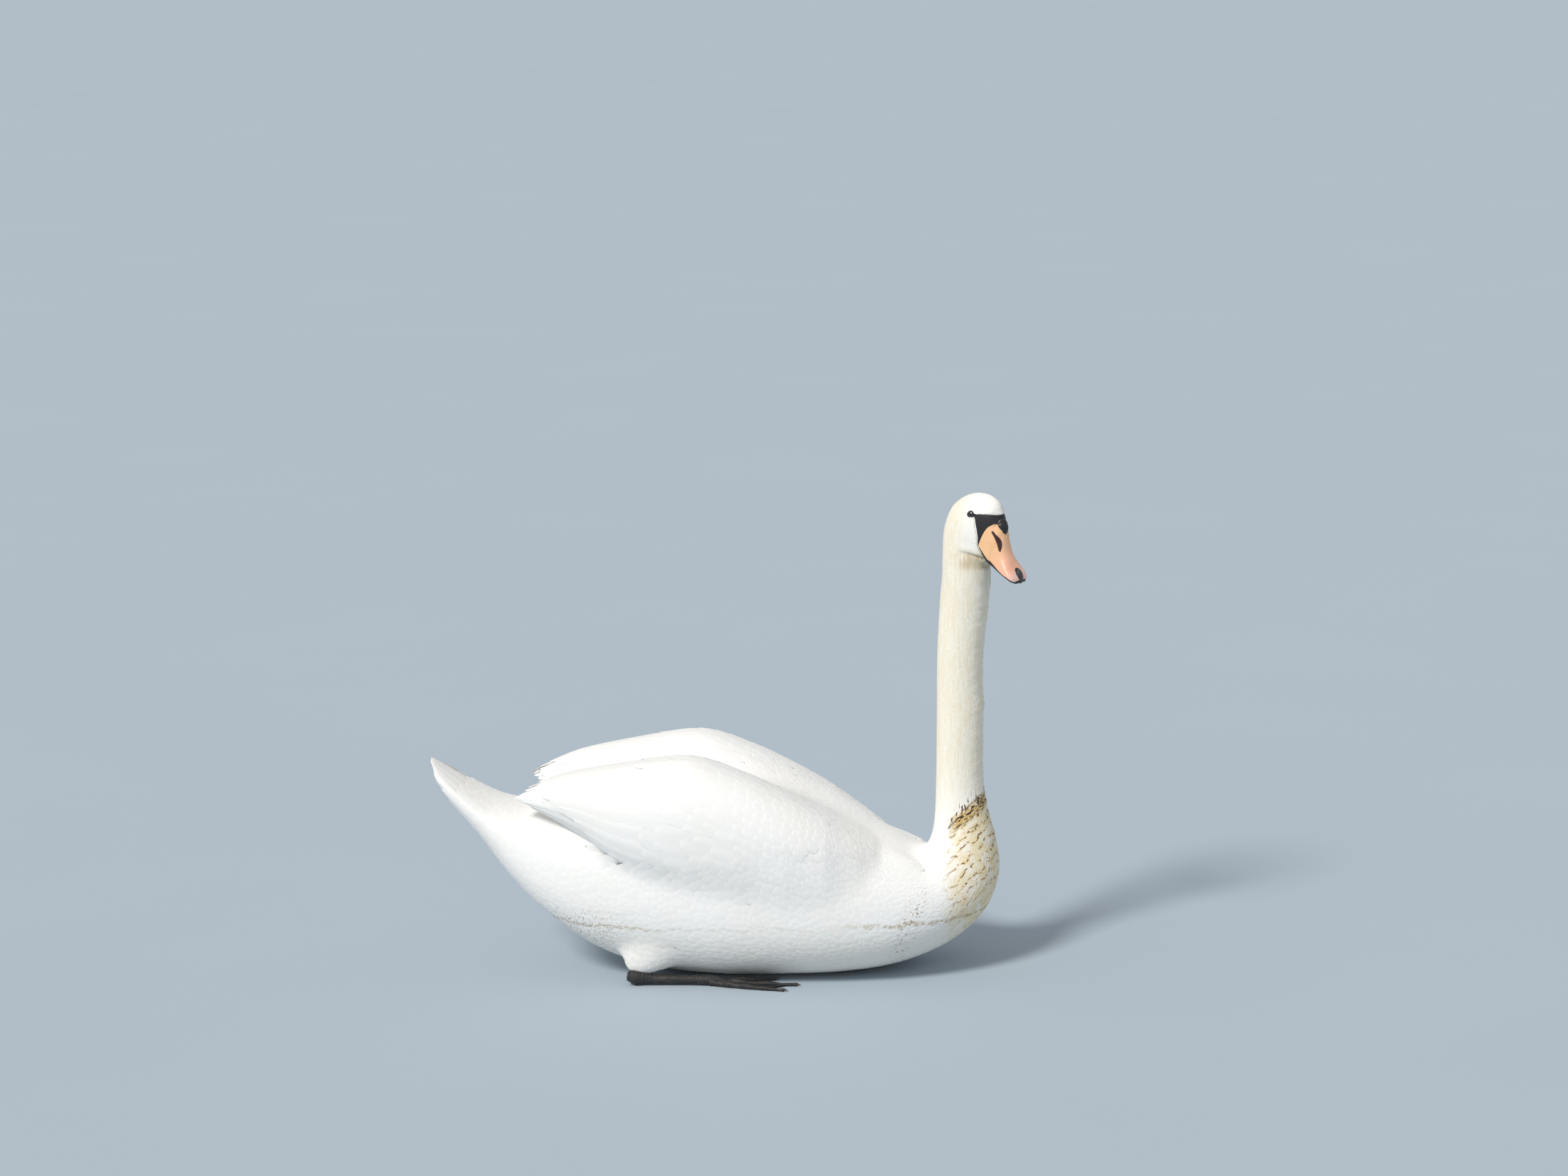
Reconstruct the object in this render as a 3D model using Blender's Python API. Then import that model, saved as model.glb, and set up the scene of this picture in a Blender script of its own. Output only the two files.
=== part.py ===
"""A mute swan at rest, life size: neck upright, head turned to its right, wings folded.

The bird faces +X, its left side is +Y and it sits on its belly on the plane z = 0.
All sizes are in metres.
"""
import math

import bmesh
import bpy
import numpy as np

# Driving dimensions.
MID_LENGTH = -0.0156          # x of the middle of the bird's whole length, moved to the origin
HEAD_TURN = math.radians(35)  # the head looks this far to the bird's right
TURN_X = 0.336                # the upright axis of the neck, which the head turns about
GAPE = (0.3784, 0.6349)       # corner of the mouth, before the head is turned
BILL_DIP = math.radians(41.6)
GAP = 0.0003                  # clearance between touching pieces
EYE_AT = (0.3684, 0.0197, 0.6786)
EYE_RADIUS = 0.0070
FOOT_SIDE = 0.106             # distance of each foot from the middle line
TARSUS_LENGTH = 0.105
HOCK_X = -0.150

# Cross-sections from the tail tip to the face. Each row holds the x and z of its upper
# point, the x and z of its lower point, the half width, how far up the widest level lies,
# the fullness (2 is an ellipse) and the share of the head's turn.
SECTIONS = {
    "tail_tip":   (-0.4560, 0.3165, -0.4555, 0.3085, 0.012, 0.60, 2.0, 0),
    "tail_fan":   (-0.4350, 0.3015, -0.4425, 0.2780, 0.040, 0.64, 2.0, 0),
    "tail_mid":   (-0.4010, 0.2800, -0.4135, 0.2400, 0.057, 0.64, 2.0, 0),
    "tail_root":  (-0.3580, 0.2590, -0.3765, 0.1930, 0.071, 0.60, 2.0, 0),
    "vent":       (-0.3100, 0.2475, -0.3345, 0.1405, 0.089, 0.56, 2.4, 0),
    "rump":       (-0.2530, 0.2515, -0.2815, 0.0875, 0.109, 0.52, 2.5, 0),
    "hip":        (-0.1815, 0.2705, -0.2100, 0.0360, 0.128, 0.50, 2.35, 0),
    "loin":       (-0.1050, 0.2860, -0.1240, 0.0055, 0.141, 0.48, 2.25, 0),
    "middle":     (-0.0285, 0.2900, -0.0285, -0.0043, 0.148, 0.46, 2.3, 0),
    "back":       (0.0480, 0.2755, 0.0670, -0.0043, 0.149, 0.46, 2.3, 0),
    "mantle":     (0.1195, 0.2475, 0.1575, -0.0005, 0.144, 0.47, 2.25, 0),
    "shoulder":   (0.1815, 0.2195, 0.2385, 0.0130, 0.132, 0.48, 2.2, 0),
    "breast":     (0.2270, 0.1975, 0.3100, 0.0425, 0.113, 0.50, 2.1, 0),
    "chest":      (0.2540, 0.1795, 0.3600, 0.0875, 0.090, 0.52, 2.05, 0),
    "crop":       (0.2710, 0.1790, 0.3800, 0.1410, 0.069, 0.55, 2.0, 0),
    "neck_foot":  (0.2820, 0.1970, 0.3760, 0.1905, 0.051, 0.52, 2.0, 0),
    "neck_low":   (0.2875, 0.2285, 0.3645, 0.2380, 0.039, 0.50, 2.0, 0),
    "neck_1":     (0.2905, 0.2860, 0.3590, 0.2905, 0.033, 0.50, 2.0, 0),
    "neck_2":     (0.2930, 0.3720, 0.3610, 0.3720, 0.032, 0.50, 2.0, 0),
    "neck_3":     (0.2955, 0.4675, 0.3620, 0.4625, 0.0315, 0.50, 2.0, 0.10),
    "neck_4":     (0.3005, 0.5435, 0.3710, 0.5360, 0.032, 0.50, 2.0, 0.42),
    "neck_top":   (0.3045, 0.5850, 0.3762, 0.5770, 0.0325, 0.50, 2.0, 0.62),
    "nape":       (0.3060, 0.6230, 0.3772, 0.5955, 0.0312, 0.50, 2.0, 0.90),
    "occiput":    (0.3092, 0.6575, 0.3775, 0.6010, 0.0292, 0.50, 2.0, 1),
    "crown_rear": (0.3238, 0.6868, 0.3788, 0.6030, 0.0285, 0.50, 2.0, 1),
    "crown":      (0.3505, 0.7035, 0.3800, 0.6045, 0.0276, 0.52, 2.0, 1),
    "brow":       (0.3785, 0.7062, 0.3815, 0.6055, 0.0243, 0.54, 2.05, 1),
    "forehead":   (0.3990, 0.6965, 0.3828, 0.6065, 0.0204, 0.55, 2.1, 1),
    "face":       (0.4085, 0.6790, 0.3840, 0.6075, 0.0172, 0.50, 2.1, 1),
}
ROW = {name: number for number, name in enumerate(SECTIONS)}

# A folded wing from its wrist to its tip: x, middle of the section across and up, and the
# section's half width and half height.
WING_SECTIONS = (
    (0.208, 0.068, 0.172, 0.018, 0.019),
    (0.182, 0.071, 0.177, 0.046, 0.038),
    (0.137, 0.079, 0.186, 0.066, 0.061),
    (0.080, 0.083, 0.200, 0.076, 0.080),
    (0.015, 0.085, 0.217, 0.080, 0.095),
    (-0.055, 0.085, 0.233, 0.080, 0.103),
    (-0.120, 0.083, 0.242, 0.077, 0.090),
    (-0.170, 0.080, 0.250, 0.070, 0.074),
    (-0.210, 0.077, 0.262, 0.060, 0.055),
    (-0.250, 0.073, 0.2705, 0.048, 0.0375),
    (-0.290, 0.069, 0.2730, 0.033, 0.0190),
    (-0.320, 0.065, 0.2730, 0.012, 0.005),
)
WING_FULLNESS = 2.3
PRIMARIES_ROW = 8.6           # the wing's own feathers end here and the long quills go on

# The bill: distance along and height above the line of the mouth for the ridge and for the
# cutting edge, then the half width and the fullness of the arch between them.
BILL_SECTIONS = (
    (0.0060, 0.0420, 0.0225, -0.0060, 0.0184, 2.4),
    (0.0176, 0.0335, 0.0290, -0.0066, 0.0176, 2.4),
    (0.0345, 0.0208, 0.0390, -0.0058, 0.0174, 2.4),
    (0.0477, 0.0150, 0.0500, -0.0040, 0.0190, 2.6),
    (0.0586, 0.0114, 0.0590, -0.0020, 0.0204, 3.0),
    (0.0670, 0.0096, 0.0670, -0.0002, 0.0204, 3.0),
    (0.0740, 0.0070, 0.0740, 0.0004, 0.0174, 2.7),
    (0.0786, 0.0038, 0.0786, 0.0004, 0.0104, 2.3),
)
BILL_ROOT = (0.0172, 2.4)     # half width and fullness where the bill meets the face
ARCH_FLOOR = 0.06             # share of an arch's height that its flat underside takes
JAW_DEPTHS = ((0.0250, 0.0080), (0.0390, 0.0060), (0.0540, 0.0052), (0.0650, 0.0040), (0.0720, 0.0022))
JAW_NARROWER = 0.84           # the lower bill's width as a share of the upper bill's
JAW_ROOT = (0.0125, 2.2)
JAW_FULLNESS = 2.3
MOUTH_SHARE = 0.19            # how far up the face the mouth lies
RIDGE_SHARE = 0.86            # how far up the face the bill's ridge starts
CHIN_SHARE = 0.01             # how far up the face the lower bill starts
JAW_BELOW_MOUTH = 0.012       # share of the face left between the two halves at the root

# The knob over the bill's root and the nail in its tip are tilted ellipsoids.
KNOB_AT = (0.4054, 0.6634)
KNOB_RADII = (0.0150, 0.0096, 0.0090)
KNOB_TILT = math.radians(65)
NAIL_ON_BILL = (0.0704, 0.0068)
NAIL_RADII = (0.0112, 0.0074, 0.0032)
NAIL_TILT = BILL_DIP + math.radians(30)

# A shank: distance ahead of the hock, height and radius. It ends where the foot begins.
SHANK = (
    (-0.006, 0.0130, 0.0085),
    (0.006, 0.0122, 0.0115),
    (0.030, 0.0090, 0.0072),
    (TARSUS_LENGTH - 0.018, 0.0080, 0.0064),
    (TARSUS_LENGTH - 0.001, 0.0076, 0.0072),
)
THIGH_AHEAD = 0.026           # middle of the thigh, ahead of the hock
THIGH_INWARD = 0.006
THIGH_HEIGHT = 0.044
THIGH_RADII = (0.044, 0.019, 0.026)
THIGH_TILT = math.radians(-28)

# The palm of a foot: distance ahead of the toes' root, height and radius.
PALM = ((GAP, 0.0074, 0.0070), (0.012, 0.0072, 0.0072), (0.024, 0.0052, 0.0050))
TOE_START = 0.006
TOE_LOWEST = 0.00225
TOES = (  # how far out its root lies, how far ahead and out its tip lies, and its root radius
    ("inner", -0.0031, 0.100, -0.022, 0.0052),
    ("middle", 0.0003, 0.134, 0.006, 0.0058),
    ("outer", 0.0033, 0.117, 0.032, 0.0051),
)
KNUCKLES = (1.0, 0.80, 0.90, 0.72, 0.80, 0.62, 0.40, 0.12)
TOE_STOPS = (0.0, 0.20, 0.36, 0.54, 0.68, 0.84, 0.91, 1.0)
FLOOR_GAP = 0.00015
WEB_THICKNESS = 0.0022
WEB_REACH = 0.89              # share of each toe's length that the web spans
WEB_START = (0.010, 0.004)    # how far ahead and aside of the toes' root the web begins
WEB_DIP = 0.018               # how far its front edge is drawn in between two toes


def collection(name):
    """Make a collection in the scene."""
    made = bpy.data.collections.new(name)
    bpy.context.scene.collection.children.link(made)
    return made


def material(name, colour, roughness):
    """Make a Principled material of one colour."""
    made = bpy.data.materials.new(name)
    made.use_nodes = True
    shader = made.node_tree.nodes["Principled BSDF"]
    shader.inputs["Base Color"].default_value = (*colour, 1)
    shader.inputs["Roughness"].default_value = roughness
    return made


def smooth_row(table, u):
    """Read a table between its rows with a Catmull-Rom curve."""
    rows = np.asarray(table, float)
    last = len(rows) - 1
    i = min(int(u), last - 1)
    t = u - i
    before = rows[i - 1] if i > 0 else 2 * rows[0] - rows[1]
    after = rows[i + 2] if i + 2 <= last else 2 * rows[last] - rows[last - 1]
    a, b = rows[i], rows[i + 1]
    return 0.5 * (2 * a + (b - before) * t + (2 * before - 5 * a + 4 * b - after) * t ** 2
                  + (3 * a - before - 3 * b + after) * t ** 3)


def superellipse(count, fullness):
    """Return across and up values round a superellipse, with a flat at the top and bottom."""
    angle = (np.arange(count) + 0.5) * 2 * np.pi / count
    up = np.sign(np.cos(angle)) * np.abs(np.cos(angle)) ** (2 / fullness)
    across = np.sign(np.sin(angle)) * np.abs(np.sin(angle)) ** (2 / fullness)
    return across, up


def body_ring(u, count, grow=0.0):
    """Return the points of the body's cross-section at row u, grown outward by grow."""
    row = smooth_row(list(SECTIONS.values()), u)
    top, low = np.array([row[0], row[1]]), np.array([row[2], row[3]])
    reach = (top - low) / np.linalg.norm(top - low)
    top, low = top + reach * grow, low - reach * grow
    middle = low + row[5] * (top - low)
    across, up = superellipse(count, row[6])
    side = (row[4] + grow) * across
    plane = np.where(up[:, None] >= 0, middle + up[:, None] * (top - middle),
                     middle - up[:, None] * (low - middle))
    turn = -row[7] * HEAD_TURN
    ahead = plane[:, 0] - TURN_X
    x = TURN_X + ahead * math.cos(turn) - side * math.sin(turn)
    y = ahead * math.sin(turn) + side * math.cos(turn)
    z = np.maximum(plane[:, 1], -grow)
    return np.stack([x, y, z], axis=1)


def wing_ring(u, count, side):
    """Return the points of a wing's section at row u; side is 1 on the left, -1 on the right."""
    x, across_at, up_at, half_width, half_height = smooth_row(WING_SECTIONS, u)
    across, up = superellipse(count, WING_FULLNESS)
    return np.stack([np.full(count, x), side * across_at + half_width * across,
                     up_at + half_height * up], axis=1)


def loft(name, rings, group, parent, look):
    """Join rings of points into one closed solid with flat ends."""
    mesh = bpy.data.meshes.new(name)
    made = bmesh.new()
    loops = [[made.verts.new(point) for point in ring] for ring in rings]
    for loop, following in zip(loops, loops[1:]):
        for i in range(len(loop)):
            j = (i + 1) % len(loop)
            made.faces.new((loop[i], loop[j], following[j], following[i]))
    made.faces.new(loops[0][::-1])
    made.faces.new(loops[-1])
    bmesh.ops.recalc_face_normals(made, faces=made.faces)
    made.to_mesh(mesh)
    made.free()
    return place(name, mesh, group, parent, look)


def place(name, mesh, group, parent, look):
    """Link a mesh as a named object, smooth where it is round."""
    mesh.shade_smooth()
    mesh.set_sharp_from_angle(angle=math.radians(40))
    mesh.materials.append(look)
    made = bpy.data.objects.new(name, mesh)
    made.parent = parent
    group.objects.link(made)
    return made


def ellipsoid(name, centre, radii, tilt, group, parent, look, steps=(12, 8)):
    """Place a stretched sphere, tilted nose down about the Y axis."""
    mesh = bpy.data.meshes.new(name)
    made = bmesh.new()
    bmesh.ops.create_uvsphere(made, u_segments=steps[0], v_segments=steps[1], radius=1)
    bmesh.ops.scale(made, vec=radii, verts=made.verts)
    made.to_mesh(mesh)
    made.free()
    ball = place(name, mesh, group, parent, look)
    ball.location = centre
    ball.rotation_euler = (0, tilt, 0)
    return ball


def tube(name, points, radii, group, parent, look):
    """Sweep a round section of changing radius along points and make it a closed mesh."""
    curve = bpy.data.curves.new(name, "CURVE")
    curve.dimensions = "3D"
    curve.bevel_depth = 1
    curve.bevel_resolution = 2
    curve.use_fill_caps = True
    spline = curve.splines.new("POLY")
    spline.points.add(len(points) - 1)
    for knot, point, radius in zip(spline.points, points, radii):
        knot.co = (*point, 1)
        knot.radius = radius
    return from_curve(name, curve, group, parent, look)


def plate(name, outline, thickness, group, parent, look):
    """Fill a flat outline and give it a thickness, standing on the floor."""
    curve = bpy.data.curves.new(name, "CURVE")
    curve.dimensions = "2D"
    curve.fill_mode = "BOTH"
    curve.extrude = thickness / 2
    spline = curve.splines.new("POLY")
    spline.points.add(len(outline) - 1)
    spline.use_cyclic_u = True
    for knot, point in zip(spline.points, outline):
        knot.co = (*point, 0, 1)
    made = from_curve(name, curve, group, parent, look)
    made.location = (0, 0, thickness / 2)
    return made


def from_curve(name, curve, group, parent, look):
    """Turn a curve into a welded mesh object."""
    source = bpy.data.objects.new(name + "_curve", curve)
    group.objects.link(source)
    evaluated = source.evaluated_get(bpy.context.evaluated_depsgraph_get())
    mesh = bpy.data.meshes.new_from_object(evaluated)
    bpy.data.objects.remove(source)
    made = bmesh.new()
    made.from_mesh(mesh)
    bmesh.ops.remove_doubles(made, verts=made.verts, dist=0.00001)
    bmesh.ops.recalc_face_normals(made, faces=made.faces)
    made.to_mesh(mesh)
    made.free()
    return place(name, mesh, group, parent, look)


def boolean(target, tool, operation):
    """Cut or join a target with a tool, exactly."""
    step = target.modifiers.new(operation.lower() + "_" + tool.name, "BOOLEAN")
    step.operation = operation
    step.object = tool


def as_cutter(tool):
    """Show a cutter as a wire only."""
    tool.hide_render = True
    tool.display_type = "WIRE"
    return tool


def rows_between(start, end, steps):
    """Return evenly spaced row values."""
    return np.linspace(start, end, steps + 1)


def body_part(name, start, end, steps, count, look):
    """Make one length of the body, with half a gap left free at both ends."""
    ends = [body_ring(start, count).mean(axis=0), body_ring(start + 0.01, count).mean(axis=0),
            body_ring(end - 0.01, count).mean(axis=0), body_ring(end, count).mean(axis=0)]
    first = 0.01 * GAP / np.linalg.norm(ends[1] - ends[0])
    last = 0.01 * GAP / np.linalg.norm(ends[3] - ends[2])
    rings = [body_ring(u, count) for u in rows_between(start + first, end - last, steps)]
    return loft(name, rings, parts, bird, look)


def mouth_point(along, above):
    """Turn a distance along the bill and a height above it into x and z."""
    return np.array([GAPE[0] + along * math.cos(BILL_DIP) + above * math.sin(BILL_DIP),
                     GAPE[1] - along * math.sin(BILL_DIP) + above * math.cos(BILL_DIP)])


def face_point(share):
    """Return a point up the front plane of the face, one gap in front of it."""
    row = SECTIONS["face"]
    top, low = np.array(row[0:2]), np.array(row[2:4])
    up = (top - low) / np.linalg.norm(top - low)
    return low + share * (top - low) + 2 * GAP * np.array([up[1], -up[0]])


def bill_ring(top, low, half_width, fullness, count=16):
    """Return an arched section over a nearly flat underside, from low to top."""
    across, up = superellipse(count, fullness)
    rise = np.where(up >= 0, up, ARCH_FLOOR * up)
    plane = low + (ARCH_FLOOR + (1 - ARCH_FLOOR) * rise[:, None]) * (top - low)
    return np.stack([plane[:, 0] - TURN_X, half_width * across, plane[:, 1]], axis=1)


for thing in list(bpy.data.objects):
    bpy.data.objects.remove(thing)

parts = collection("mute_swan")
cutters = collection("cutters")
bird = bpy.data.objects.new("bird", None)
bird.location = (-MID_LENGTH, 0, 0)
parts.objects.link(bird)
head_turn = bpy.data.objects.new("head_turn", None)
head_turn.parent = bird
head_turn.location = (TURN_X, 0, 0)
head_turn.rotation_euler = (0, 0, -HEAD_TURN)
parts.objects.link(head_turn)
bpy.context.view_layer.update()

white = material("white_feathers", (0.86, 0.86, 0.84), 0.6)
cream = material("cream_feathers", (0.84, 0.78, 0.62), 0.65)
peach = material("peach_horn", (0.80, 0.42, 0.26), 0.4)
black = material("black_skin", (0.02, 0.02, 0.022), 0.45)
slate = material("slate_horn", (0.07, 0.065, 0.065), 0.4)
glossy = material("eye_black", (0.012, 0.01, 0.01), 0.08)

# Head, neck, trunk and tail: one smooth body parted by thin cuts across it.
TAIL_END = ROW["tail_root"] + 0.5
HEAD_START = ROW["neck_top"] + 0.5
TAIL_STEPS = 9
TRUNK_STEPS = 32
tail = body_part("tail", 0, TAIL_END, TAIL_STEPS, 24, white)
trunk = body_part("trunk", TAIL_END, ROW["neck_foot"], TRUNK_STEPS, 24, white)
neck = body_part("neck", ROW["neck_foot"], HEAD_START, 16, 20, cream)
head = body_part("head", HEAD_START, ROW["face"], 18, 20, cream)
hull_rows = np.append(rows_between(0, TAIL_END, TAIL_STEPS),
                      rows_between(TAIL_END, ROW["neck_foot"], TRUNK_STEPS)[1:])
hull_rings = [body_ring(u, 24, 2 * GAP) for u in hull_rows]
hull = as_cutter(loft("body_hull", hull_rings, cutters, bird, white))

# Wings: almond forms, hollowed below by the body that they lie on. The long quills behind
# are a second length of the same form.
last_wing_row = len(WING_SECTIONS) - 1
for label, side in (("left", 1), ("right", -1)):
    for kind, start, end, steps in (("wing", 0, PRIMARIES_ROW, 20),
                                    ("primaries", PRIMARIES_ROW + 0.01, last_wing_row, 7)):
        wing_rings = [wing_ring(u, 22, side) for u in rows_between(start, end, steps)]
        wing = loft(kind + "_" + label, wing_rings, parts, bird, white)
        boolean(wing, hull, "DIFFERENCE")

# Bill: upper and lower halves, the nail let into the tip and the knob over the root.
upper_rings = [bill_ring(face_point(RIDGE_SHARE), face_point(MOUTH_SHARE), *BILL_ROOT)]
for u in rows_between(0, len(BILL_SECTIONS) - 1, 14):
    row = smooth_row(BILL_SECTIONS, u)
    upper_rings.append(bill_ring(mouth_point(*row[0:2]), mouth_point(*row[2:4]), row[4], row[5]))
upper = loft("bill_upper", upper_rings, parts, head_turn, peach)

lower_rings = [bill_ring(face_point(CHIN_SHARE), face_point(MOUTH_SHARE - JAW_BELOW_MOUTH), *JAW_ROOT)]
for along, depth in JAW_DEPTHS:
    edge = np.interp(along, [row[2] for row in BILL_SECTIONS], [row[3] for row in BILL_SECTIONS])
    half_width = JAW_NARROWER * np.interp(along, [row[2] for row in BILL_SECTIONS],
                                          [row[4] for row in BILL_SECTIONS])
    lower_rings.append(bill_ring(mouth_point(along, edge - depth), mouth_point(along, edge - 2 * GAP),
                                 half_width, JAW_FULLNESS))
loft("bill_lower", lower_rings, parts, head_turn, black)


def head_piece(name, centre, radii, tilt, look, hosts):
    """Place an ellipsoid on the straight head and cut its bed in the pieces that hold it."""
    local = (centre[0] - TURN_X, centre[1], centre[2])
    grown = tuple(radius + GAP for radius in radii)
    ellipsoid(name, local, radii, tilt, parts, head_turn, look)
    bed = as_cutter(ellipsoid(name + "_bed", local, grown, tilt, cutters, head_turn, look))
    for host in hosts:
        boolean(host, bed, "DIFFERENCE")


nail_x, nail_z = mouth_point(*NAIL_ON_BILL)
head_piece("bill_knob", (KNOB_AT[0], 0, KNOB_AT[1]), KNOB_RADII, KNOB_TILT, black, (head, upper))
head_piece("bill_nail", (nail_x, 0, nail_z), NAIL_RADII, NAIL_TILT, slate, (upper,))
for label, side in (("left", 1), ("right", -1)):
    head_piece("eye_" + label, (EYE_AT[0], side * EYE_AT[1], EYE_AT[2]), (EYE_RADIUS,) * 3, 0,
               glossy, (head,))

# Legs: the shank lies forward along the floor from the hock, under the flank, and the
# feathered thigh rises from the hock to the body. Each foot lies flat in front of it.
toe_x = HOCK_X + TARSUS_LENGTH
for label, side in (("left", 1), ("right", -1)):
    y = side * FOOT_SIDE
    shank_path = [(HOCK_X + ahead, y, height) for ahead, height, radius in SHANK]
    shank = tube("leg_" + label, shank_path, [row[2] for row in SHANK], parts, bird, black)
    thigh_at = (HOCK_X + THIGH_AHEAD, y - side * THIGH_INWARD, THIGH_HEIGHT)
    thigh = ellipsoid("thigh_" + label, thigh_at, THIGH_RADII, THIGH_TILT, cutters, bird, black, (14, 8))
    boolean(shank, as_cutter(thigh), "UNION")
    boolean(shank, hull, "DIFFERENCE")

    palm_path = [(toe_x + ahead, y, height) for ahead, height, radius in PALM]
    foot = tube("foot_" + label, palm_path, [row[2] for row in PALM], parts, bird, black)
    tips = [(toe_x + toe[2] * WEB_REACH, y + side * toe[3] * WEB_REACH) for toe in TOES]
    web = [(toe_x + WEB_START[0], y - side * WEB_START[1])]
    for tip, following in zip(tips, tips[1:]):
        web.append(tip)
        for share in (0.25, 0.5, 0.75):
            dip = WEB_DIP * math.sin(math.pi * share)
            web.append((tip[0] + share * (following[0] - tip[0]) - dip,
                        tip[1] + share * (following[1] - tip[1])))
    web.append(tips[-1])
    web.append((toe_x + WEB_START[0], y + side * WEB_START[1]))
    web_plate = plate("web_" + label, web[::side], WEB_THICKNESS, cutters, bird, black)
    boolean(foot, as_cutter(web_plate), "UNION")
    for toe, root, ahead, out, radius in TOES:
        radii = [radius * swell for swell in KNUCKLES]
        path = [(toe_x + TOE_START + (ahead - TOE_START) * stop, y + side * (root + (out - root) * stop),
                 max(TOE_LOWEST, thick + FLOOR_GAP)) for stop, thick in zip(TOE_STOPS, radii)]
        joined = tube("toe_" + toe + "_" + label, path, radii, cutters, bird, black)
        boolean(foot, as_cutter(joined), "UNION")
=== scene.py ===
import math

import bpy
import numpy as np
from mathutils import Matrix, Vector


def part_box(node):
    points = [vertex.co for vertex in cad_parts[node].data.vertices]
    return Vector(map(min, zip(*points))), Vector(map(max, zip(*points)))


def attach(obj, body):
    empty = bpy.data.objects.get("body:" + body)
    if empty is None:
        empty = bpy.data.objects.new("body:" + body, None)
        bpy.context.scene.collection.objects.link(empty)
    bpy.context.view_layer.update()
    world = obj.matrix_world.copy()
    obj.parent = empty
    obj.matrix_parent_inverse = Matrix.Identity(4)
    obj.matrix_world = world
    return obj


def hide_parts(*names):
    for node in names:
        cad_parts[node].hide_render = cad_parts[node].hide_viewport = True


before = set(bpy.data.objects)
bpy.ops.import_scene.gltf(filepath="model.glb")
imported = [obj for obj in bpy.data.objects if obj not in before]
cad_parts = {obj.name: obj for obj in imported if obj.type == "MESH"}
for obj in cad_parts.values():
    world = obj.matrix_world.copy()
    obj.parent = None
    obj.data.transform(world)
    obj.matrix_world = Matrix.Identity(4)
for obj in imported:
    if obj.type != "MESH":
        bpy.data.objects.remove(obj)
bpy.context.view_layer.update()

# --- Skin -------------------------------------------------------------------------------
# The skin of the bird is one closed sheet from the tail to the root of the bill. It takes in
# the neck, the trunk, the folded wings and the thighs, and it lies inside the outline of the
# plumage by the depth of the coat. Only the black lores in front of the eyes are bare.
HEAD_TURN = math.radians(35)
TURN_X = 0.336
# Sections of the plumage's outline: x and z of the upper point, x and z of the lower point,
# half width, how far up the widest place lies, fullness, and the share of the head's turn.
SECTIONS = {
    "tail_tip":   (-0.4560, 0.3165, -0.4555, 0.3085, 0.012, 0.60, 2.0, 0),
    "tail_fan":   (-0.4350, 0.3015, -0.4425, 0.2780, 0.040, 0.64, 2.0, 0),
    "tail_mid":   (-0.4010, 0.2800, -0.4135, 0.2400, 0.057, 0.64, 2.0, 0),
    "tail_root":  (-0.3580, 0.2590, -0.3765, 0.1930, 0.071, 0.60, 2.0, 0),
    "vent":       (-0.3100, 0.2475, -0.3345, 0.1405, 0.089, 0.56, 2.4, 0),
    "rump":       (-0.2530, 0.2515, -0.2815, 0.0875, 0.109, 0.52, 2.5, 0),
    "hip":        (-0.1815, 0.2705, -0.2100, 0.0360, 0.128, 0.50, 2.35, 0),
    "loin":       (-0.1050, 0.2860, -0.1240, 0.0055, 0.141, 0.48, 2.25, 0),
    "middle":     (-0.0285, 0.2900, -0.0285, -0.0043, 0.148, 0.46, 2.3, 0),
    "back":       (0.0480, 0.2755, 0.0670, -0.0043, 0.149, 0.46, 2.3, 0),
    "mantle":     (0.1195, 0.2475, 0.1575, -0.0005, 0.144, 0.47, 2.25, 0),
    "shoulder":   (0.1815, 0.2195, 0.2385, 0.0130, 0.132, 0.48, 2.2, 0),
    "breast":     (0.2270, 0.1975, 0.3100, 0.0425, 0.113, 0.50, 2.1, 0),
    "chest":      (0.2540, 0.1795, 0.3600, 0.0875, 0.090, 0.52, 2.05, 0),
    "crop":       (0.2710, 0.1790, 0.3800, 0.1410, 0.069, 0.55, 2.0, 0),
    "neck_foot":  (0.2820, 0.1970, 0.3760, 0.1905, 0.051, 0.52, 2.0, 0),
    "neck_low":   (0.2875, 0.2285, 0.3645, 0.2380, 0.039, 0.50, 2.0, 0),
    "neck_1":     (0.2905, 0.2860, 0.3590, 0.2905, 0.033, 0.50, 2.0, 0),
    "neck_2":     (0.2930, 0.3720, 0.3610, 0.3720, 0.032, 0.50, 2.0, 0),
    "neck_3":     (0.2955, 0.4675, 0.3620, 0.4625, 0.0315, 0.50, 2.0, 0.10),
    "neck_4":     (0.3005, 0.5435, 0.3710, 0.5360, 0.032, 0.50, 2.0, 0.42),
    "neck_top":   (0.3045, 0.5850, 0.3762, 0.5770, 0.0325, 0.50, 2.0, 0.62),
    "nape":       (0.3060, 0.6230, 0.3772, 0.5955, 0.0312, 0.50, 2.0, 0.90),
    "occiput":    (0.3092, 0.6575, 0.3775, 0.6010, 0.0292, 0.50, 2.0, 1),
    "crown_rear": (0.3238, 0.6868, 0.3788, 0.6030, 0.0285, 0.50, 2.0, 1),
    "crown":      (0.3505, 0.7035, 0.3800, 0.6045, 0.0276, 0.52, 2.0, 1),
    "brow":       (0.3785, 0.7062, 0.3815, 0.6055, 0.0243, 0.54, 2.05, 1),
    "forehead":   (0.3990, 0.6965, 0.3828, 0.6065, 0.0204, 0.55, 2.1, 1),
    "face":       (0.4085, 0.6790, 0.3840, 0.6075, 0.0172, 0.50, 2.1, 1),
}
ROW = {name: number for number, name in enumerate(SECTIONS)}
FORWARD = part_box("tail")[0].x - SECTIONS["tail_tip"][0]
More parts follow.
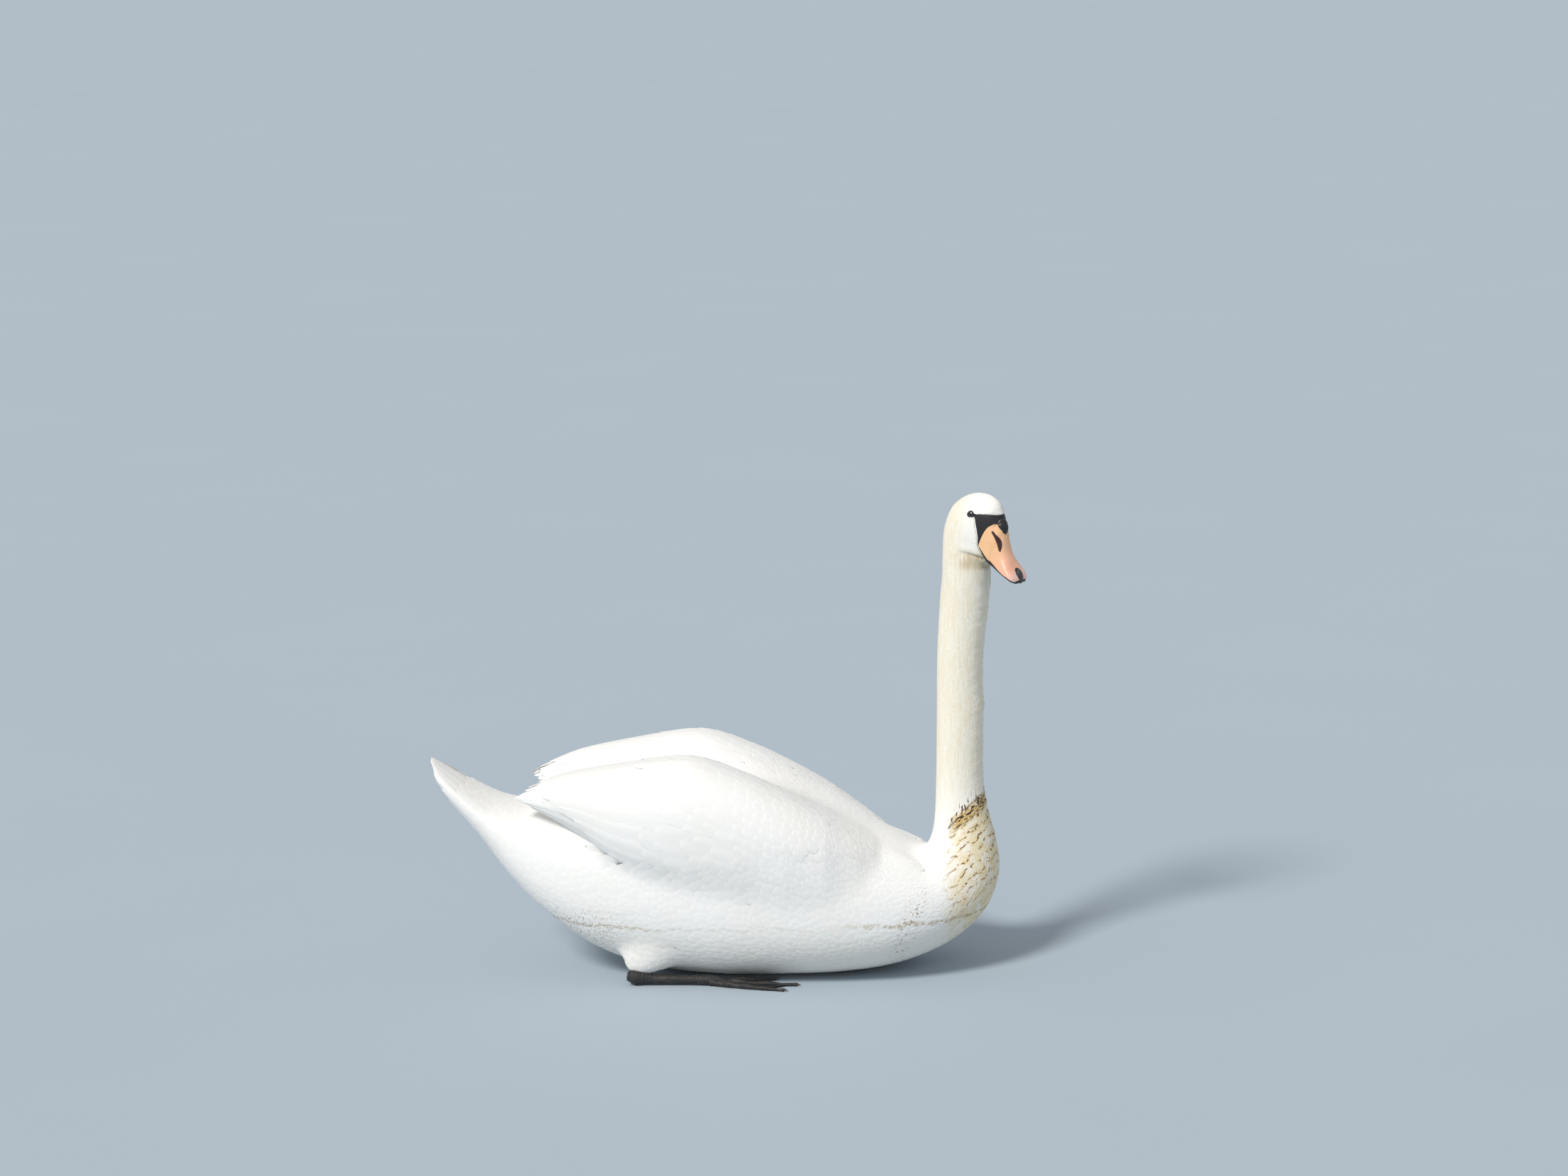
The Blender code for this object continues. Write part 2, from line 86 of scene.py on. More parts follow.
# How deep the coat lies over the skin.
COAT_DEPTH = {"tail_tip": 0.0045, "tail_mid": 0.0070, "vent": 0.0048, "rump": 0.0045,
              "shoulder": 0.0042, "crop": 0.0032, "neck_foot": 0.0026, "neck_1": 0.0024,
              "neck_top": 0.0020, "crown_rear": 0.0016, "brow": 0.0014, "face": 0.0008}
# Upright sections of the left wing: x, y and z of its middle, half width and half height.
WING = (
    (0.208, 0.068, 0.172, 0.018, 0.019), (0.182, 0.071, 0.177, 0.046, 0.038),
    (0.137, 0.079, 0.186, 0.066, 0.061), (0.080, 0.083, 0.200, 0.076, 0.080),
    (0.015, 0.085, 0.217, 0.080, 0.095), (-0.055, 0.085, 0.233, 0.080, 0.103),
    (-0.120, 0.083, 0.242, 0.077, 0.090), (-0.170, 0.080, 0.250, 0.070, 0.074),
    (-0.210, 0.077, 0.262, 0.060, 0.055), (-0.250, 0.073, 0.2705, 0.048, 0.0375),
    (-0.290, 0.069, 0.2730, 0.033, 0.0190), (-0.324, 0.065, 0.2725, 0.012, 0.0050),
)
WING_FULLNESS = 2.3
WING_DEPTH = 0.0055
FLESH_ENDS = (-0.190, -0.252)
SPECK = 0.001
THIGH_AT = np.array([-0.124, 0.100, 0.044])
THIGH_RADII = np.array([0.044, 0.019, 0.026])
THIGH_TILT = math.radians(-28)
THIGH_DEPTH = 0.005
THIGH_BLEND = 0.022
ROWS_BY_WING = (4.2, 13)
ROWS_BY_THIGH = (5.2, 9)
EVENINGS = 5
EYE_AT = np.array([0.3684, 0.0197, 0.6786])


def read_table(table, u):
    """Read a table at the row numbers u, along a Catmull-Rom curve through its rows."""
    table = np.asarray(table, float)
    last = len(table) - 1
    knots = np.vstack([2 * table[0] - table[1], table, 2 * table[last] - table[last - 1]])
    i = np.clip(np.floor(u).astype(int), 0, last - 1)
    t = (u - i)[..., None]
    before, here, after, beyond = (knots[i + k] for k in range(4))
    return 0.5 * (2 * here + (after - before) * t
                  + (2 * before - 5 * here + 4 * after - beyond) * t ** 2
                  + (3 * here - before - 3 * after + beyond) * t ** 3)


def along_rows(values, u):
    """Read a value given at named sections, by straight lines between them."""
    return np.interp(u, [ROW[name] for name in values], list(values.values()))


def arch(angle, fullness):
    """Across and up on a superellipse: each is the sine or cosine to the power 2 / fullness."""
    across = np.sign(np.sin(angle)) * np.abs(np.sin(angle)) ** (2 / fullness)
    up = np.sign(np.cos(angle)) * np.abs(np.cos(angle)) ** (2 / fullness)
    return across, up


def turned(points, share=1.0, way=-1):
    """Turn points about the upright axis of the neck: by HEAD_TURN to the right, or back."""
    turn = way * share * HEAD_TURN
    ahead = points[..., 0] - TURN_X
    x = TURN_X + ahead * np.cos(turn) - points[..., 1] * np.sin(turn)
    y = ahead * np.sin(turn) + points[..., 1] * np.cos(turn)
    return np.stack([x, y, points[..., 2]], axis=-1)


def placed(points):
    """Move points from the bird's own measures to the frame."""
    return points + np.array([FORWARD, 0, 0])


def smooth_step(value, low, high):
    """0 below low, 1 above high, and 3t^2 - 2t^3 between."""
    t = np.clip((value - low) / (high - low), 0, 1)
    return t * t * (3 - 2 * t)


def pull_to_middle(points, share):
    """Move each ring's points toward the ring's middle by a share of their distance."""
    middle = points[:, :-1].mean(axis=1, keepdims=True)
    return middle + (points - middle) * (1 - share)[..., None]


def body_surface(u, v, depth):
    """The body at row u and angle v round it, moved inward by depth.

    The section's upper and lower points and half width are each drawn in by the depth, and a
    superellipse is drawn through them: v is 0 on the back and grows towards the left side.
    """
    row = read_table(list(SECTIONS.values()), u)
    top, low = row[..., 0:2], row[..., 2:4]
    reach = (top - low) / np.linalg.norm(top - low, axis=-1, keepdims=True)
    top = top - reach * depth[..., None]
    low = low + reach * depth[..., None]
    middle = low + row[..., 5:6] * (top - low)
    across, up = arch(v, row[..., 6])
    plane = np.where(up[..., None] >= 0, middle + up[..., None] * (top - middle),
                     middle - up[..., None] * (low - middle))
    side = (row[..., 4] - depth) * across
    points = turned(np.stack([plane[..., 0], side, plane[..., 1]], axis=-1), row[..., 7])
    points[..., 2] = np.maximum(points[..., 2], depth)
    return throat_and_neck(points, u, v)


def throat_and_neck(points, u, v):
    """Press the fold below the cheek into the head, and ruffle the front of the neck.

    The fold is a groove along a line from below the ear to the chin. The ruffles are sines of
    the height, strongest on the neck's front.
    """
    straight = turned(points, way=1)
    on_head = smooth_step(u, ROW["nape"] + 0.2, ROW["occiput"])
    fold = np.interp(straight[..., 0], (0.345, 0.3521, 0.3649, 0.3796, 0.3909),
                     (0.6225, 0.6213, 0.6196, 0.6146, 0.6120))
    away = straight[..., 2] - fold
    ends = smooth_step(straight[..., 0], 0.344, 0.356)
    ends = ends * (1 - smooth_step(straight[..., 0], 0.383, 0.395))
    groove = 0.070 * np.exp(-(away / 0.0028) ** 2) - 0.030 * np.exp(-((away - 0.0085) / 0.0055) ** 2)
    front = np.clip(-np.cos(v), 0, 1) ** 2
    on_neck = smooth_step(u, ROW["neck_foot"] + 0.4, ROW["neck_low"] + 0.5)
    on_neck = on_neck * (1 - smooth_step(u, ROW["neck_4"] + 0.3, ROW["neck_top"] + 0.6))
    z = points[..., 2]
    ruffle = np.sin(310 * z + 3 * np.sin(95 * z)) * np.sin(150 * z + 2 * np.sin(v * 3) + 1.3)
    ruffle = 0.020 * front * ruffle - 0.045 * front * np.exp(-((z - 0.392) / 0.010) ** 2)
    return pull_to_middle(points, on_head * ends * groove + on_neck * ruffle)


def wing_surface(w, angle, side, depth):
    """A folded wing at row w and an angle round it: 0 on top, a quarter turn on the outer side.

    Each upright section is a superellipse about its own middle, drawn in by the depth.
    """
    row = read_table(WING, w)
    across, up = arch(angle, WING_FULLNESS)
    half_width = np.maximum(row[..., 3] - depth, 0.3 * row[..., 3])
    half_height = np.maximum(row[..., 4] - depth, 0.3 * row[..., 4])
    return np.stack([row[..., 0], side * (row[..., 1] + half_width * across),
                     row[..., 2] + half_height * up], axis=-1)


def to_wing(points, depth, fading=0.08):
    """The distance from points to the nearer wing, less than 0 inside it, and the angle there.

    It is measured from the middle of the wing's upright section straight out to its edge. Past
    the wing's ends the section shrinks to a speck, and behind the flesh, where the wing is only
    quills, the distance grows by the fading.
    """
    table = np.array(WING)[::-1]
    middle_y, middle_z = (np.interp(points[..., 0], table[:, 0], table[:, k]) for k in (1, 2))
    half_width, half_height = (
        np.interp(points[..., 0], table[:, 0], table[:, k], left=SPECK, right=SPECK) for k in (3, 4))
    across = np.abs(points[..., 1]) - middle_y
    up = points[..., 2] - middle_z
    share = (np.abs(across / np.maximum(half_width - depth, SPECK)) ** WING_FULLNESS
             + np.abs(up / np.maximum(half_height - depth, SPECK)) ** WING_FULLNESS)
    share = np.maximum(share, 1e-6) ** (1 / WING_FULLNESS)
    angle = np.arctan2(across / half_width, up / half_height)
    beyond = smooth_step(points[..., 0], *FLESH_ENDS) * fading
    return np.hypot(across, up) * (1 - 1 / share) + beyond, angle


def to_thigh(points, depth):
    """The distance from points to the nearer thigh, measured from its middle to its surface."""
    offset = np.stack([points[..., 0], np.abs(points[..., 1]), points[..., 2]], axis=-1) - THIGH_AT
    ahead = offset[..., 0] * math.cos(THIGH_TILT) - offset[..., 2] * math.sin(THIGH_TILT)
    rise = offset[..., 0] * math.sin(THIGH_TILT) + offset[..., 2] * math.cos(THIGH_TILT)
    along = np.stack([ahead, offset[..., 1], rise], axis=-1)
    share = np.sqrt(((along / (THIGH_RADII - depth)) ** 2).sum(axis=-1))
    return np.linalg.norm(along, axis=-1) * (1 - 1 / np.maximum(share, 1e-3))


def swell(points, distance, rows, blend, reach=1.9, stations=40):
    """Push part of a grid outward to take in a second form, with a soft crease between.

    Each point moves along the line from its ring's middle to the first place where the smooth
    least of the two distances is 0, and the moves are then evened out between neighbours. The
    smooth least of p and q over a width k is their minimum less k h (1 - h), where h runs from
    0 to 1 as q passes p.
    """
    chosen = points[rows]
    middle = chosen[:, :-1].mean(axis=1, keepdims=True)
    arm = chosen - middle
    size = np.linalg.norm(arm, axis=-1)
    push, last = np.zeros(size.shape), np.full(size.shape, -1.0)
    shares = np.linspace(1 - 0.5 / stations, reach, stations)
    for share in shares:
        place = middle + share * arm
        own, other = (share - 1) * size, distance(place)
        width = blend(place)
        h = np.clip(0.5 + 0.5 * (own - other) / width, 0, 1)
        now = own * (1 - h) + other * h - width * h * (1 - h)
        crossing = share - (shares[1] - shares[0]) * now / np.where(now > last, now - last, 1)
        push = np.where((push == 0) & (last < 0) & (now >= 0), np.maximum(crossing, 1), push)
        last = now
    push = np.maximum(push, 1)
    push[:, -1] = push[:, 0]
    for _ in range(EVENINGS):
        push[1:-1] = 0.25 * push[:-2] + 0.5 * push[1:-1] + 0.25 * push[2:]
        ring = push[:, :-1]
        before, after = (np.roll(ring, step, axis=1) for step in (1, -1))
        push[:, :-1] = 0.5 * ring + 0.25 * before + 0.25 * after
        push[:, -1] = push[:, 0]
    grown = points.copy()
    grown[rows] = middle + push[..., None] * arm
    return grown


def wing_blend(points):
    """How softly the coat runs from body to wing: widest at the shoulder."""
    return 0.014 + 0.016 * smooth_step(points[..., 0], -0.060, 0.120)


def take_in(points, rows, wing_depth, thigh_depth):
    """Swell the rows of a body grid over the wings and the thighs."""
    near_wings, near_thighs = (np.flatnonzero((rows > low) & (rows < high))
                               for low, high in (ROWS_BY_WING, ROWS_BY_THIGH))
    points = swell(points, lambda p: to_wing(p, wing_depth)[0], near_wings, wing_blend)
    return swell(points, lambda p: to_thigh(p, thigh_depth), near_thighs,
                 lambda p: THIGH_BLEND, 1.4)


def mesh_of(name, points, *face_groups):
    """Make a smooth mesh from points and arrays of faces, turned so that they face outward."""
    points = points.reshape(-1, 3)
    first = np.concatenate([group[:, 0] for group in face_groups])
    second = np.concatenate([group[:, 1] for group in face_groups])
    third = np.concatenate([group[:, -1] for group in face_groups])
    volume = np.einsum("ij,ij->i", points[first], np.cross(points[second], points[third])).sum()
    if volume < 0:
        face_groups = [group[:, ::-1] for group in face_groups]
    corners = np.concatenate([group.ravel() for group in face_groups])
    sizes = np.concatenate([np.full(len(group), group.shape[1]) for group in face_groups])
    mesh = bpy.data.meshes.new(name)
    mesh.vertices.add(len(points))
    mesh.vertices.foreach_set("co", points.astype(np.float32).ravel())
    mesh.loops.add(len(corners))
    mesh.loops.foreach_set("vertex_index", corners.astype(np.int32))
    mesh.polygons.add(len(sizes))
    mesh.polygons.foreach_set("loop_start", (np.cumsum(sizes) - sizes).astype(np.int32))
    mesh.update(calc_edges=True)
    mesh.shade_smooth()
    return mesh


def grid_faces(rows, columns):
    """Quads of a grid whose columns close into a ring, and fans that close its two ends."""
    i, j = np.meshgrid(np.arange(rows - 1), np.arange(columns), indexing="ij")
    k = (j + 1) % columns
    quads = np.stack([i * columns + j, i * columns + k, (i + 1) * columns + k,
                      (i + 1) * columns + j], axis=-1).reshape(-1, 4)
    ring = np.arange(columns)
    after = (ring + 1) % columns
    first_fan = np.stack([after, ring, np.full(columns, rows * columns)], axis=-1)
    end = (rows - 1) * columns
    last_fan = np.stack([end + ring, end + after, np.full(columns, rows * columns + 1)], axis=-1)
    return quads, np.concatenate([first_fan, last_fan])


def round_grid(rows, count):
    """A grid of row numbers or angles by evenly spaced angles round a full turn."""
    return np.meshgrid(rows, np.linspace(0, 2 * np.pi, count, endpoint=False), indexing="ij")


def met_grid(rows, count):
    """The same with one angle more, so that the last column meets the first."""
    return np.meshgrid(rows, np.linspace(0, 2 * np.pi, count + 1), indexing="ij")


def closed_tube(points):
    """Points and faces of a ringed grid, with one more point in the middle of each end."""
    rows, columns = points.shape[:2]
    ends = np.stack([points[0].mean(axis=0), points[-1].mean(axis=0)])
    return np.vstack([points.reshape(-1, 3), ends]), grid_faces(rows, columns)


def piece(name, mesh, look):
    """Show a mesh as one piece with its material."""
    mesh.materials.append(look)
    made = bpy.data.objects.new(name, mesh)
    bpy.context.scene.collection.objects.link(made)
    return made


def mark(mesh, name, values):
    """Store one number for each point of a mesh, for its material to read."""
    mesh.attributes.new(name, "FLOAT", "POINT").data.foreach_set("value", values.astype(np.float32))


def bake_map(mesh, places):
    """Store the unwrap that the colours are baked through, from one place for each point."""
    corners = np.zeros(len(mesh.loops), np.int32)
    mesh.loops.foreach_get("vertex_index", corners)
    layer = mesh.uv_layers.new(name="OFBake")
    layer.uv.foreach_set("vector", places[corners].astype(np.float32).ravel())


def node(tree, kind, inputs=None, **options):
    """Add a shader node with its options, and feed its inputs with values or other outputs."""
    made = tree.nodes.new("ShaderNode" + kind)
    for key, value in options.items():
        setattr(made, key, value)
    for key, value in (inputs or {}).items():
        if isinstance(value, bpy.types.NodeSocket):
            tree.links.new(value, made.inputs[key])
        else:
            made.inputs[key].default_value = value
    return made


def marked(tree, name):
    """Read the number that a mesh holds for each of its points under a name."""
    return node(tree, "Attribute", attribute_name=name).outputs["Fac"]


def place_in(tree):
    """Read each point's place in its piece."""
    return node(tree, "TexCoord").outputs["Object"]


def calc(tree, operation, first, second=0.0):
    """Work out one number from two."""
    return node(tree, "Math", {0: first, 1: second}, operation=operation).outputs[0]


def times(tree, first, second):
    """One number times another."""
    return calc(tree, "MULTIPLY", first, second)


def plus(tree, first, second):
    """One number and another."""
    return calc(tree, "ADD", first, second)


def less(tree, first, second):
    """One number less another."""
    return calc(tree, "SUBTRACT", first, second)


def rise(tree, value, low, high):
    """0 below low, 1 above high, smooth between."""
    made = node(tree, "MapRange", {"Value": value, "From Min": low, "From Max": high},
                interpolation_type="SMOOTHSTEP")
    return made.outputs[0]


def noise(tree, place, scale, stretch=(1, 1, 1), detail=3.0):
    """A cloudy pattern of values round 0.5, drawn out along an axis by a small stretch."""
    moved = node(tree, "Mapping", {"Vector": place, "Scale": stretch}).outputs[0]
    return node(tree, "TexNoise", {"Vector": moved, "Scale": scale, "Detail": detail}).outputs[0]


def tint(tree, share, under, over):
    """Lay one colour over another by a share."""
    made = node(tree, "Mix", {0: share, 6: under, 7: over}, data_type="RGBA")
    return made.outputs[2]


def new_look(name):
    """Start a material, and return it with its node tree and its Principled shader."""
    look = bpy.data.materials.new(name)
    look.use_nodes = True
    return look, look.node_tree, look.node_tree.nodes["Principled BSDF"]


def finish(tree, shader, colour, roughness, **others):
    """Give a shader its colour and roughness, and its other values by their names."""
    tree.links.new(colour, shader.inputs["Base Color"])
    shader.inputs["Roughness"].default_value = roughness
    for key, value in others.items():
        shader.inputs[key.replace("_", " ")].default_value = value


def bump(tree, shader, height, distance, strength=1.0):
    """Raise a shader's surface by a height pattern."""
    made = node(tree, "Bump", {"Height": height, "Distance": distance, "Strength": strength})
    tree.links.new(made.outputs[0], shader.inputs["Normal"])


WHITE, SOFT_WHITE = (0.93, 0.925, 0.91, 1), (0.905, 0.895, 0.865, 1)
CREAM, DEEP_CREAM, BUFF = (0.92, 0.885, 0.785, 1), (0.87, 0.795, 0.63, 1), (0.82, 0.72, 0.53, 1)
# The cheeks' white is partly a painted highlight, and the throat's tan is painted shade below the
# cheek's fold.
CHEEK_WHITE_AND_HIGHLIGHT, THROAT_SHADE = (0.93, 0.92, 0.885, 1), (0.52, 0.40, 0.21, 1)
STAIN, DASH_EDGE, DASH = (0.84, 0.73, 0.49, 1), (0.66, 0.44, 0.14, 1), (0.15, 0.09, 0.035, 1)
COLLAR_OCHRE, COLLAR_DARK = (0.58, 0.35, 0.06, 1), (0.055, 0.032, 0.014, 1)
FLECK, DIRT = (0.09, 0.06, 0.03, 1), (0.25, 0.17, 0.08, 1)
WATER_BROWN, BELLY_WHITE = (0.45, 0.34, 0.18, 1), (0.76, 0.71, 0.58, 1)
# The collar is the upper edge of the chest's stain: a point on it, and how steeply it climbs.
COLLAR_X = 0.335
COLLAR_Z = 0.2195
COLLAR_SLOPE = 0.72
DASH_LEAN = math.radians(38)
DASH_ROW = 0.0064
STRAND_WIDTH = 0.0050
WATER_Z = 0.083


def both(tree, first, *others):
    """The share where every one of several marks lies: their product."""
    for other in others:
        first = times(tree, first, other)
    return first


def neck_colour(tree, colour, x, z, streaks):
    """Cream in fine upright streaks up the neck, and buff on some feathers by their own shade."""
    on_neck = both(tree, rise(tree, z, 0.17, 0.34), rise(tree, x, 0.25, 0.31))
    cream = tint(tree, rise(tree, streaks, 0.35, 0.72), CREAM, DEEP_CREAM)
    colour = tint(tree, on_neck, colour, cream)
    return tint(tree, both(tree, marked(tree, "tint"), 0.30, on_neck), colour, BUFF)


def head_colour(tree, colour, place, streaks):
    """White on the cheeks and brow, partly their own paler colour and partly a painted highlight
    where the light falls on the face, and a tan painted shade on the throat below the cheek's fold.

    Both lie between smooth edges in x and z of the unturned head.
    """
    straight = node(tree, "VectorRotate", {"Vector": place, "Center": (TURN_X + FORWARD, 0, 0),
                                           "Angle": HEAD_TURN}, rotation_type="Z_AXIS").outputs[0]
    x, _, z = node(tree, "SeparateXYZ", {0: straight}).outputs
    # Painted highlight over the face's own paler colour: the cheeks and brow are made whiter where
    # the light falls.
    cheek = both(tree, rise(tree, x, 0.352, 0.388), rise(tree, z, 0.622, 0.634), 0.85)
    colour = tint(tree, cheek, colour, CHEEK_WHITE_AND_HIGHLIGHT)
    # Painted shade: tan under the cheek's fold, where the throat turns down out of the light.
    throat = both(tree, rise(tree, z, 0.592, 0.606), rise(tree, z, 0.6235, 0.6190),
                  rise(tree, x, 0.345, 0.385), rise(tree, streaks, 0.20, 0.60), 0.72)
    return tint(tree, throat, colour, THROAT_SHADE)


def chest_colour(tree, colour, place, x, y, z):
    """An ochre stain on the chest with rows of dark dashes, under a dark slanting collar.

    Above is the height over the collar, which climbs forward round the foot of the neck. Rows
    run up and forward, and a to-and-fro wave across them puts a dash with yellow edges on each.
    Noise breaks the rows into dashes, and its blotches make them wander.
    """
    collar = plus(tree, times(tree, x, COLLAR_SLOPE), COLLAR_Z - COLLAR_X * COLLAR_SLOPE)
    above = less(tree, z, collar)
    blotches = noise(tree, place, 55.0)
    on_chest = rise(tree, x, 0.308, 0.352)
    wash = both(tree, on_chest, rise(tree, above, 0.010, -0.006),
                plus(tree, rise(tree, blotches, 0.30, 0.62), 0.45), 0.72)
    colour = tint(tree, wash, colour, STAIN)

    slant = less(tree, times(tree, z, math.cos(DASH_LEAN)), times(tree, x, math.sin(DASH_LEAN)))
    run = plus(tree, times(tree, x, math.cos(DASH_LEAN)), times(tree, z, math.sin(DASH_LEAN)))
    wander = times(tree, blotches, 0.026)
    from_row = calc(tree, "PINGPONG", plus(tree, plus(tree, slant, wander), 1.0), DASH_ROW)
    row_place = node(tree, "CombineXYZ", {0: times(tree, run, 0.32), 1: y, 2: slant}).outputs[0]
    broken = noise(tree, row_place, 330.0, detail=2.0)
    thinning = plus(tree, rise(tree, above, -0.16, -0.04), 0.30)
    reach = both(tree, on_chest, thinning, rise(tree, above, 0.0, -0.008))
    edges = both(tree, rise(tree, from_row, 0.0048, 0.0010), rise(tree, broken, 0.40, 0.58))
    colour = tint(tree, both(tree, edges, reach, 0.62), colour, DASH_EDGE)
    dashes = both(tree, rise(tree, from_row, 0.0021, 0.0006), rise(tree, broken, 0.49, 0.57))
    colour = tint(tree, both(tree, dashes, reach, 0.88), colour, DASH)

    # The collar is the darkest, ragged in two strands, with upright flecks above it.
    level = calc(tree, "ABSOLUTE", plus(tree, above, times(tree, blotches, -0.010)))
    band = both(tree, rise(tree, level, 0.0150, 0.0050), rise(tree, x, 0.322, 0.338))
    ochre = both(tree, band, rise(tree, broken, 0.30, 0.46), 0.85)
    colour = tint(tree, ochre, colour, COLLAR_OCHRE)
    strand = calc(tree, "PINGPONG", plus(tree, plus(tree, above, wander), 1.0), STRAND_WIDTH)
    dark_band = both(tree, band, rise(tree, strand, 0.0036, 0.0022),
                     rise(tree, broken, 0.44, 0.52))
    colour = tint(tree, dark_band, colour, COLLAR_DARK)
    upright = noise(tree, place, 300.0, (1, 1, 0.14), 1.0)
    flecks = both(tree, rise(tree, upright, 0.58, 0.64), rise(tree, above, 0.036, 0.020),
                  rise(tree, above, 0.0, 0.006), rise(tree, x, 0.318, 0.328))
    return tint(tree, flecks, colour, FLECK), broken


def water_colour(tree, colour, place, x, z, broken):
    """A faint brown fringe at the height of the water, with dirt rising from it.

    The dirt lies in a column on the shoulder and at the vent. Below the line the white is dull.
    """
    specks = noise(tree, place, 300.0, detail=2.0)
    middle_x = calc(tree, "ABSOLUTE", less(tree, x, plus(tree, times(tree, z, 0.35), 0.238)))
    column = both(tree, rise(tree, middle_x, 0.020, 0.004), rise(tree, z, 0.160, 0.110))
    rear = both(tree, rise(tree, x, -0.11, -0.20), rise(tree, z, 0.130, 0.095))
    dirt = both(tree, calc(tree, "MAXIMUM", column, rear), rise(tree, specks, 0.58, 0.64), 0.75)
    colour = tint(tree, dirt, colour, DIRT)
    line = plus(tree, z, times(tree, noise(tree, place, 38.0), -0.022))
    line = calc(tree, "ABSOLUTE", less(tree, line, WATER_Z))
    from_middle = calc(tree, "ABSOLUTE", less(tree, x, 0.05))
    strength = plus(tree, rise(tree, from_middle, 0.10, 0.22), 0.35)
    fringe = both(tree, rise(tree, line, 0.0040, 0.0006), rise(tree, broken, 0.36, 0.60),
                  strength, 0.55)
    colour = tint(tree, fringe, colour, WATER_BROWN)
    return tint(tree, times(tree, rise(tree, z, 0.095, 0.060), 0.22), colour, BELLY_WHITE)


def plumage_group():
    """The colours of the plumage, which the skin and every feather share.

    White turns to cream up the neck. Below a slanting collar the chest carries an ochre stain
    with dark dashes in rows, and a dirty line runs round the body at the height of the water.
    """
    tree = bpy.data.node_groups.new("plumage", "ShaderNodeTree")
    tree.interface.new_socket("Color", in_out="OUTPUT", socket_type="NodeSocketColor")
    place = place_in(tree)
    x, y, z = node(tree, "SeparateXYZ", {0: place}).outputs
    streaks = noise(tree, place, 260.0, (1, 1, 0.13))
    colour = tint(tree, rise(tree, noise(tree, place, 9.0), 0.35, 0.75), WHITE, SOFT_WHITE)
    colour = neck_colour(tree, colour, x, z, streaks)
    colour = head_colour(tree, colour, place, streaks)
    colour, broken = chest_colour(tree, colour, place, x, y, z)
    colour = water_colour(tree, colour, place, x, z, broken)
    output = tree.nodes.new("NodeGroupOutput")
    tree.links.new(colour, output.inputs[0])
    return tree


plumage = plumage_group()


def plumage_look(name):
    """Start a material that carries the plumage's colours, and return its colour too."""
    look, tree, shader = new_look(name)
    group = node(tree, "Group", node_tree=plumage)
    return look, tree, shader, group.outputs[0]


BLACK_SKIN = (0.016, 0.015, 0.017, 1)
HORN_ROOT = (0.92, 0.56, 0.30, 1)
skin_look, tree, shader, colour = plumage_look("skin")
bare = marked(tree, "bare")
horn = marked(tree, "horn")
colour = tint(tree, rise(tree, bare, -0.2, 0.2), colour, BLACK_SKIN)
colour = tint(tree, times(tree, rise(tree, horn, -0.2, 0.2), rise(tree, bare, -0.2, 0.2)),
              colour, HORN_ROOT)
finish(tree, shader, colour, 0.5)
bump(tree, shader, noise(tree, place_in(tree), 900.0), 0.0004, 0.5)

skin_rows = np.concatenate([np.linspace(1.7, ROW["neck_foot"], 124, endpoint=False),
                            np.linspace(ROW["neck_foot"], ROW["neck_top"], 70, endpoint=False),
                            np.linspace(ROW["neck_top"], ROW["face"], 211)])
SKIN_ROUND = 240
u, v = met_grid(skin_rows, SKIN_ROUND)
skin_points = take_in(body_surface(u, v, along_rows(COAT_DEPTH, u)), skin_rows,
                      WING_DEPTH, THIGH_DEPTH)


def to_lore(points):
    """How far points lie from the bare skin between the eye and the bill; 0 or less on it.

    Its rear edge is a line x(z) from the eye to the corner of the mouth, and its upper edge a
    line z(x) from the eye to the knob.
    """
    straight = turned(points, way=1)
    x, z = straight[..., 0], straight[..., 2]
    rear = np.interp(z, (0.6190, 0.6203, 0.6327, 0.6389, 0.6466, 0.6576, 0.6713, 0.6797),
                     (0.3900, 0.3832, 0.3790, 0.3788, 0.3797, 0.3787, 0.3759, 0.3725))
    upper = np.interp(x, (0.3650, 0.3731, 0.3987, 0.4047, 0.4090),
                      (0.6830, 0.6803, 0.6800, 0.6792, 0.6792))
    return np.maximum(np.maximum(rear - x, z - upper), 0.6200 - z)


def to_horn(straight):
    """How far points of the unturned head lie ahead of the horn's rear edge, a line x(z)."""
    edge = np.interp(straight[..., 2],
                     (0.6200, 0.6327, 0.6400, 0.6490, 0.6570, 0.6620, 0.6650, 0.6700),
                     (0.3800, 0.3795, 0.3822, 0.3866, 0.3912, 0.3952, 0.4002, 0.4120))
    return straight[..., 0] - edge


# The skin's marks are distances in millimetres, so that the colours part along smooth lines.
MILLIMETRES = 1000
FAR = 9
MOUTH_CORNER_Z = 0.6327
ring_points = skin_points[:, :-1]
points, faces = closed_tube(placed(ring_points))
mesh = mesh_of("skin", points, *faces)
on_head = u[:, :-1] > ROW["nape"]
bareness = np.where(on_head, -MILLIMETRES * to_lore(ring_points), -FAR)
mark(mesh, "bare", np.append(bareness.ravel(), (-FAR, FAR)))
straight = turned(ring_points, way=1)
ahead = np.minimum(to_horn(straight), straight[..., 2] - MOUTH_CORNER_Z)
mark(mesh, "horn", np.append(np.where(on_head, MILLIMETRES * ahead, -FAR).ravel(), (-FAR, FAR)))
skin = piece("skin", mesh, skin_look)
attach(skin, "root")
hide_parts("trunk", "tail", "neck", "head", "wing_left", "wing_right",
            "primaries_left", "primaries_right")

# --- Eyes -------------------------------------------------------------------------------
# Each eye is a ball of dark glass set into the head, with a slight swell at its middle. A
# rim of black skin lies round it as the lids, wider than it is high.
EYE_RADIUS = 0.0066
EYE_SUNK = 0.0008
PUPIL, EYE_RIM = (0.002, 0.002, 0.002, 1), (0.010, 0.006, 0.005, 1)
IRIS_DARK, IRIS_LIGHT = (0.012, 0.006, 0.004, 1), (0.030, 0.014, 0.008, 1)
BLACK_SKIN_WORN = (0.030, 0.029, 0.031, 1)


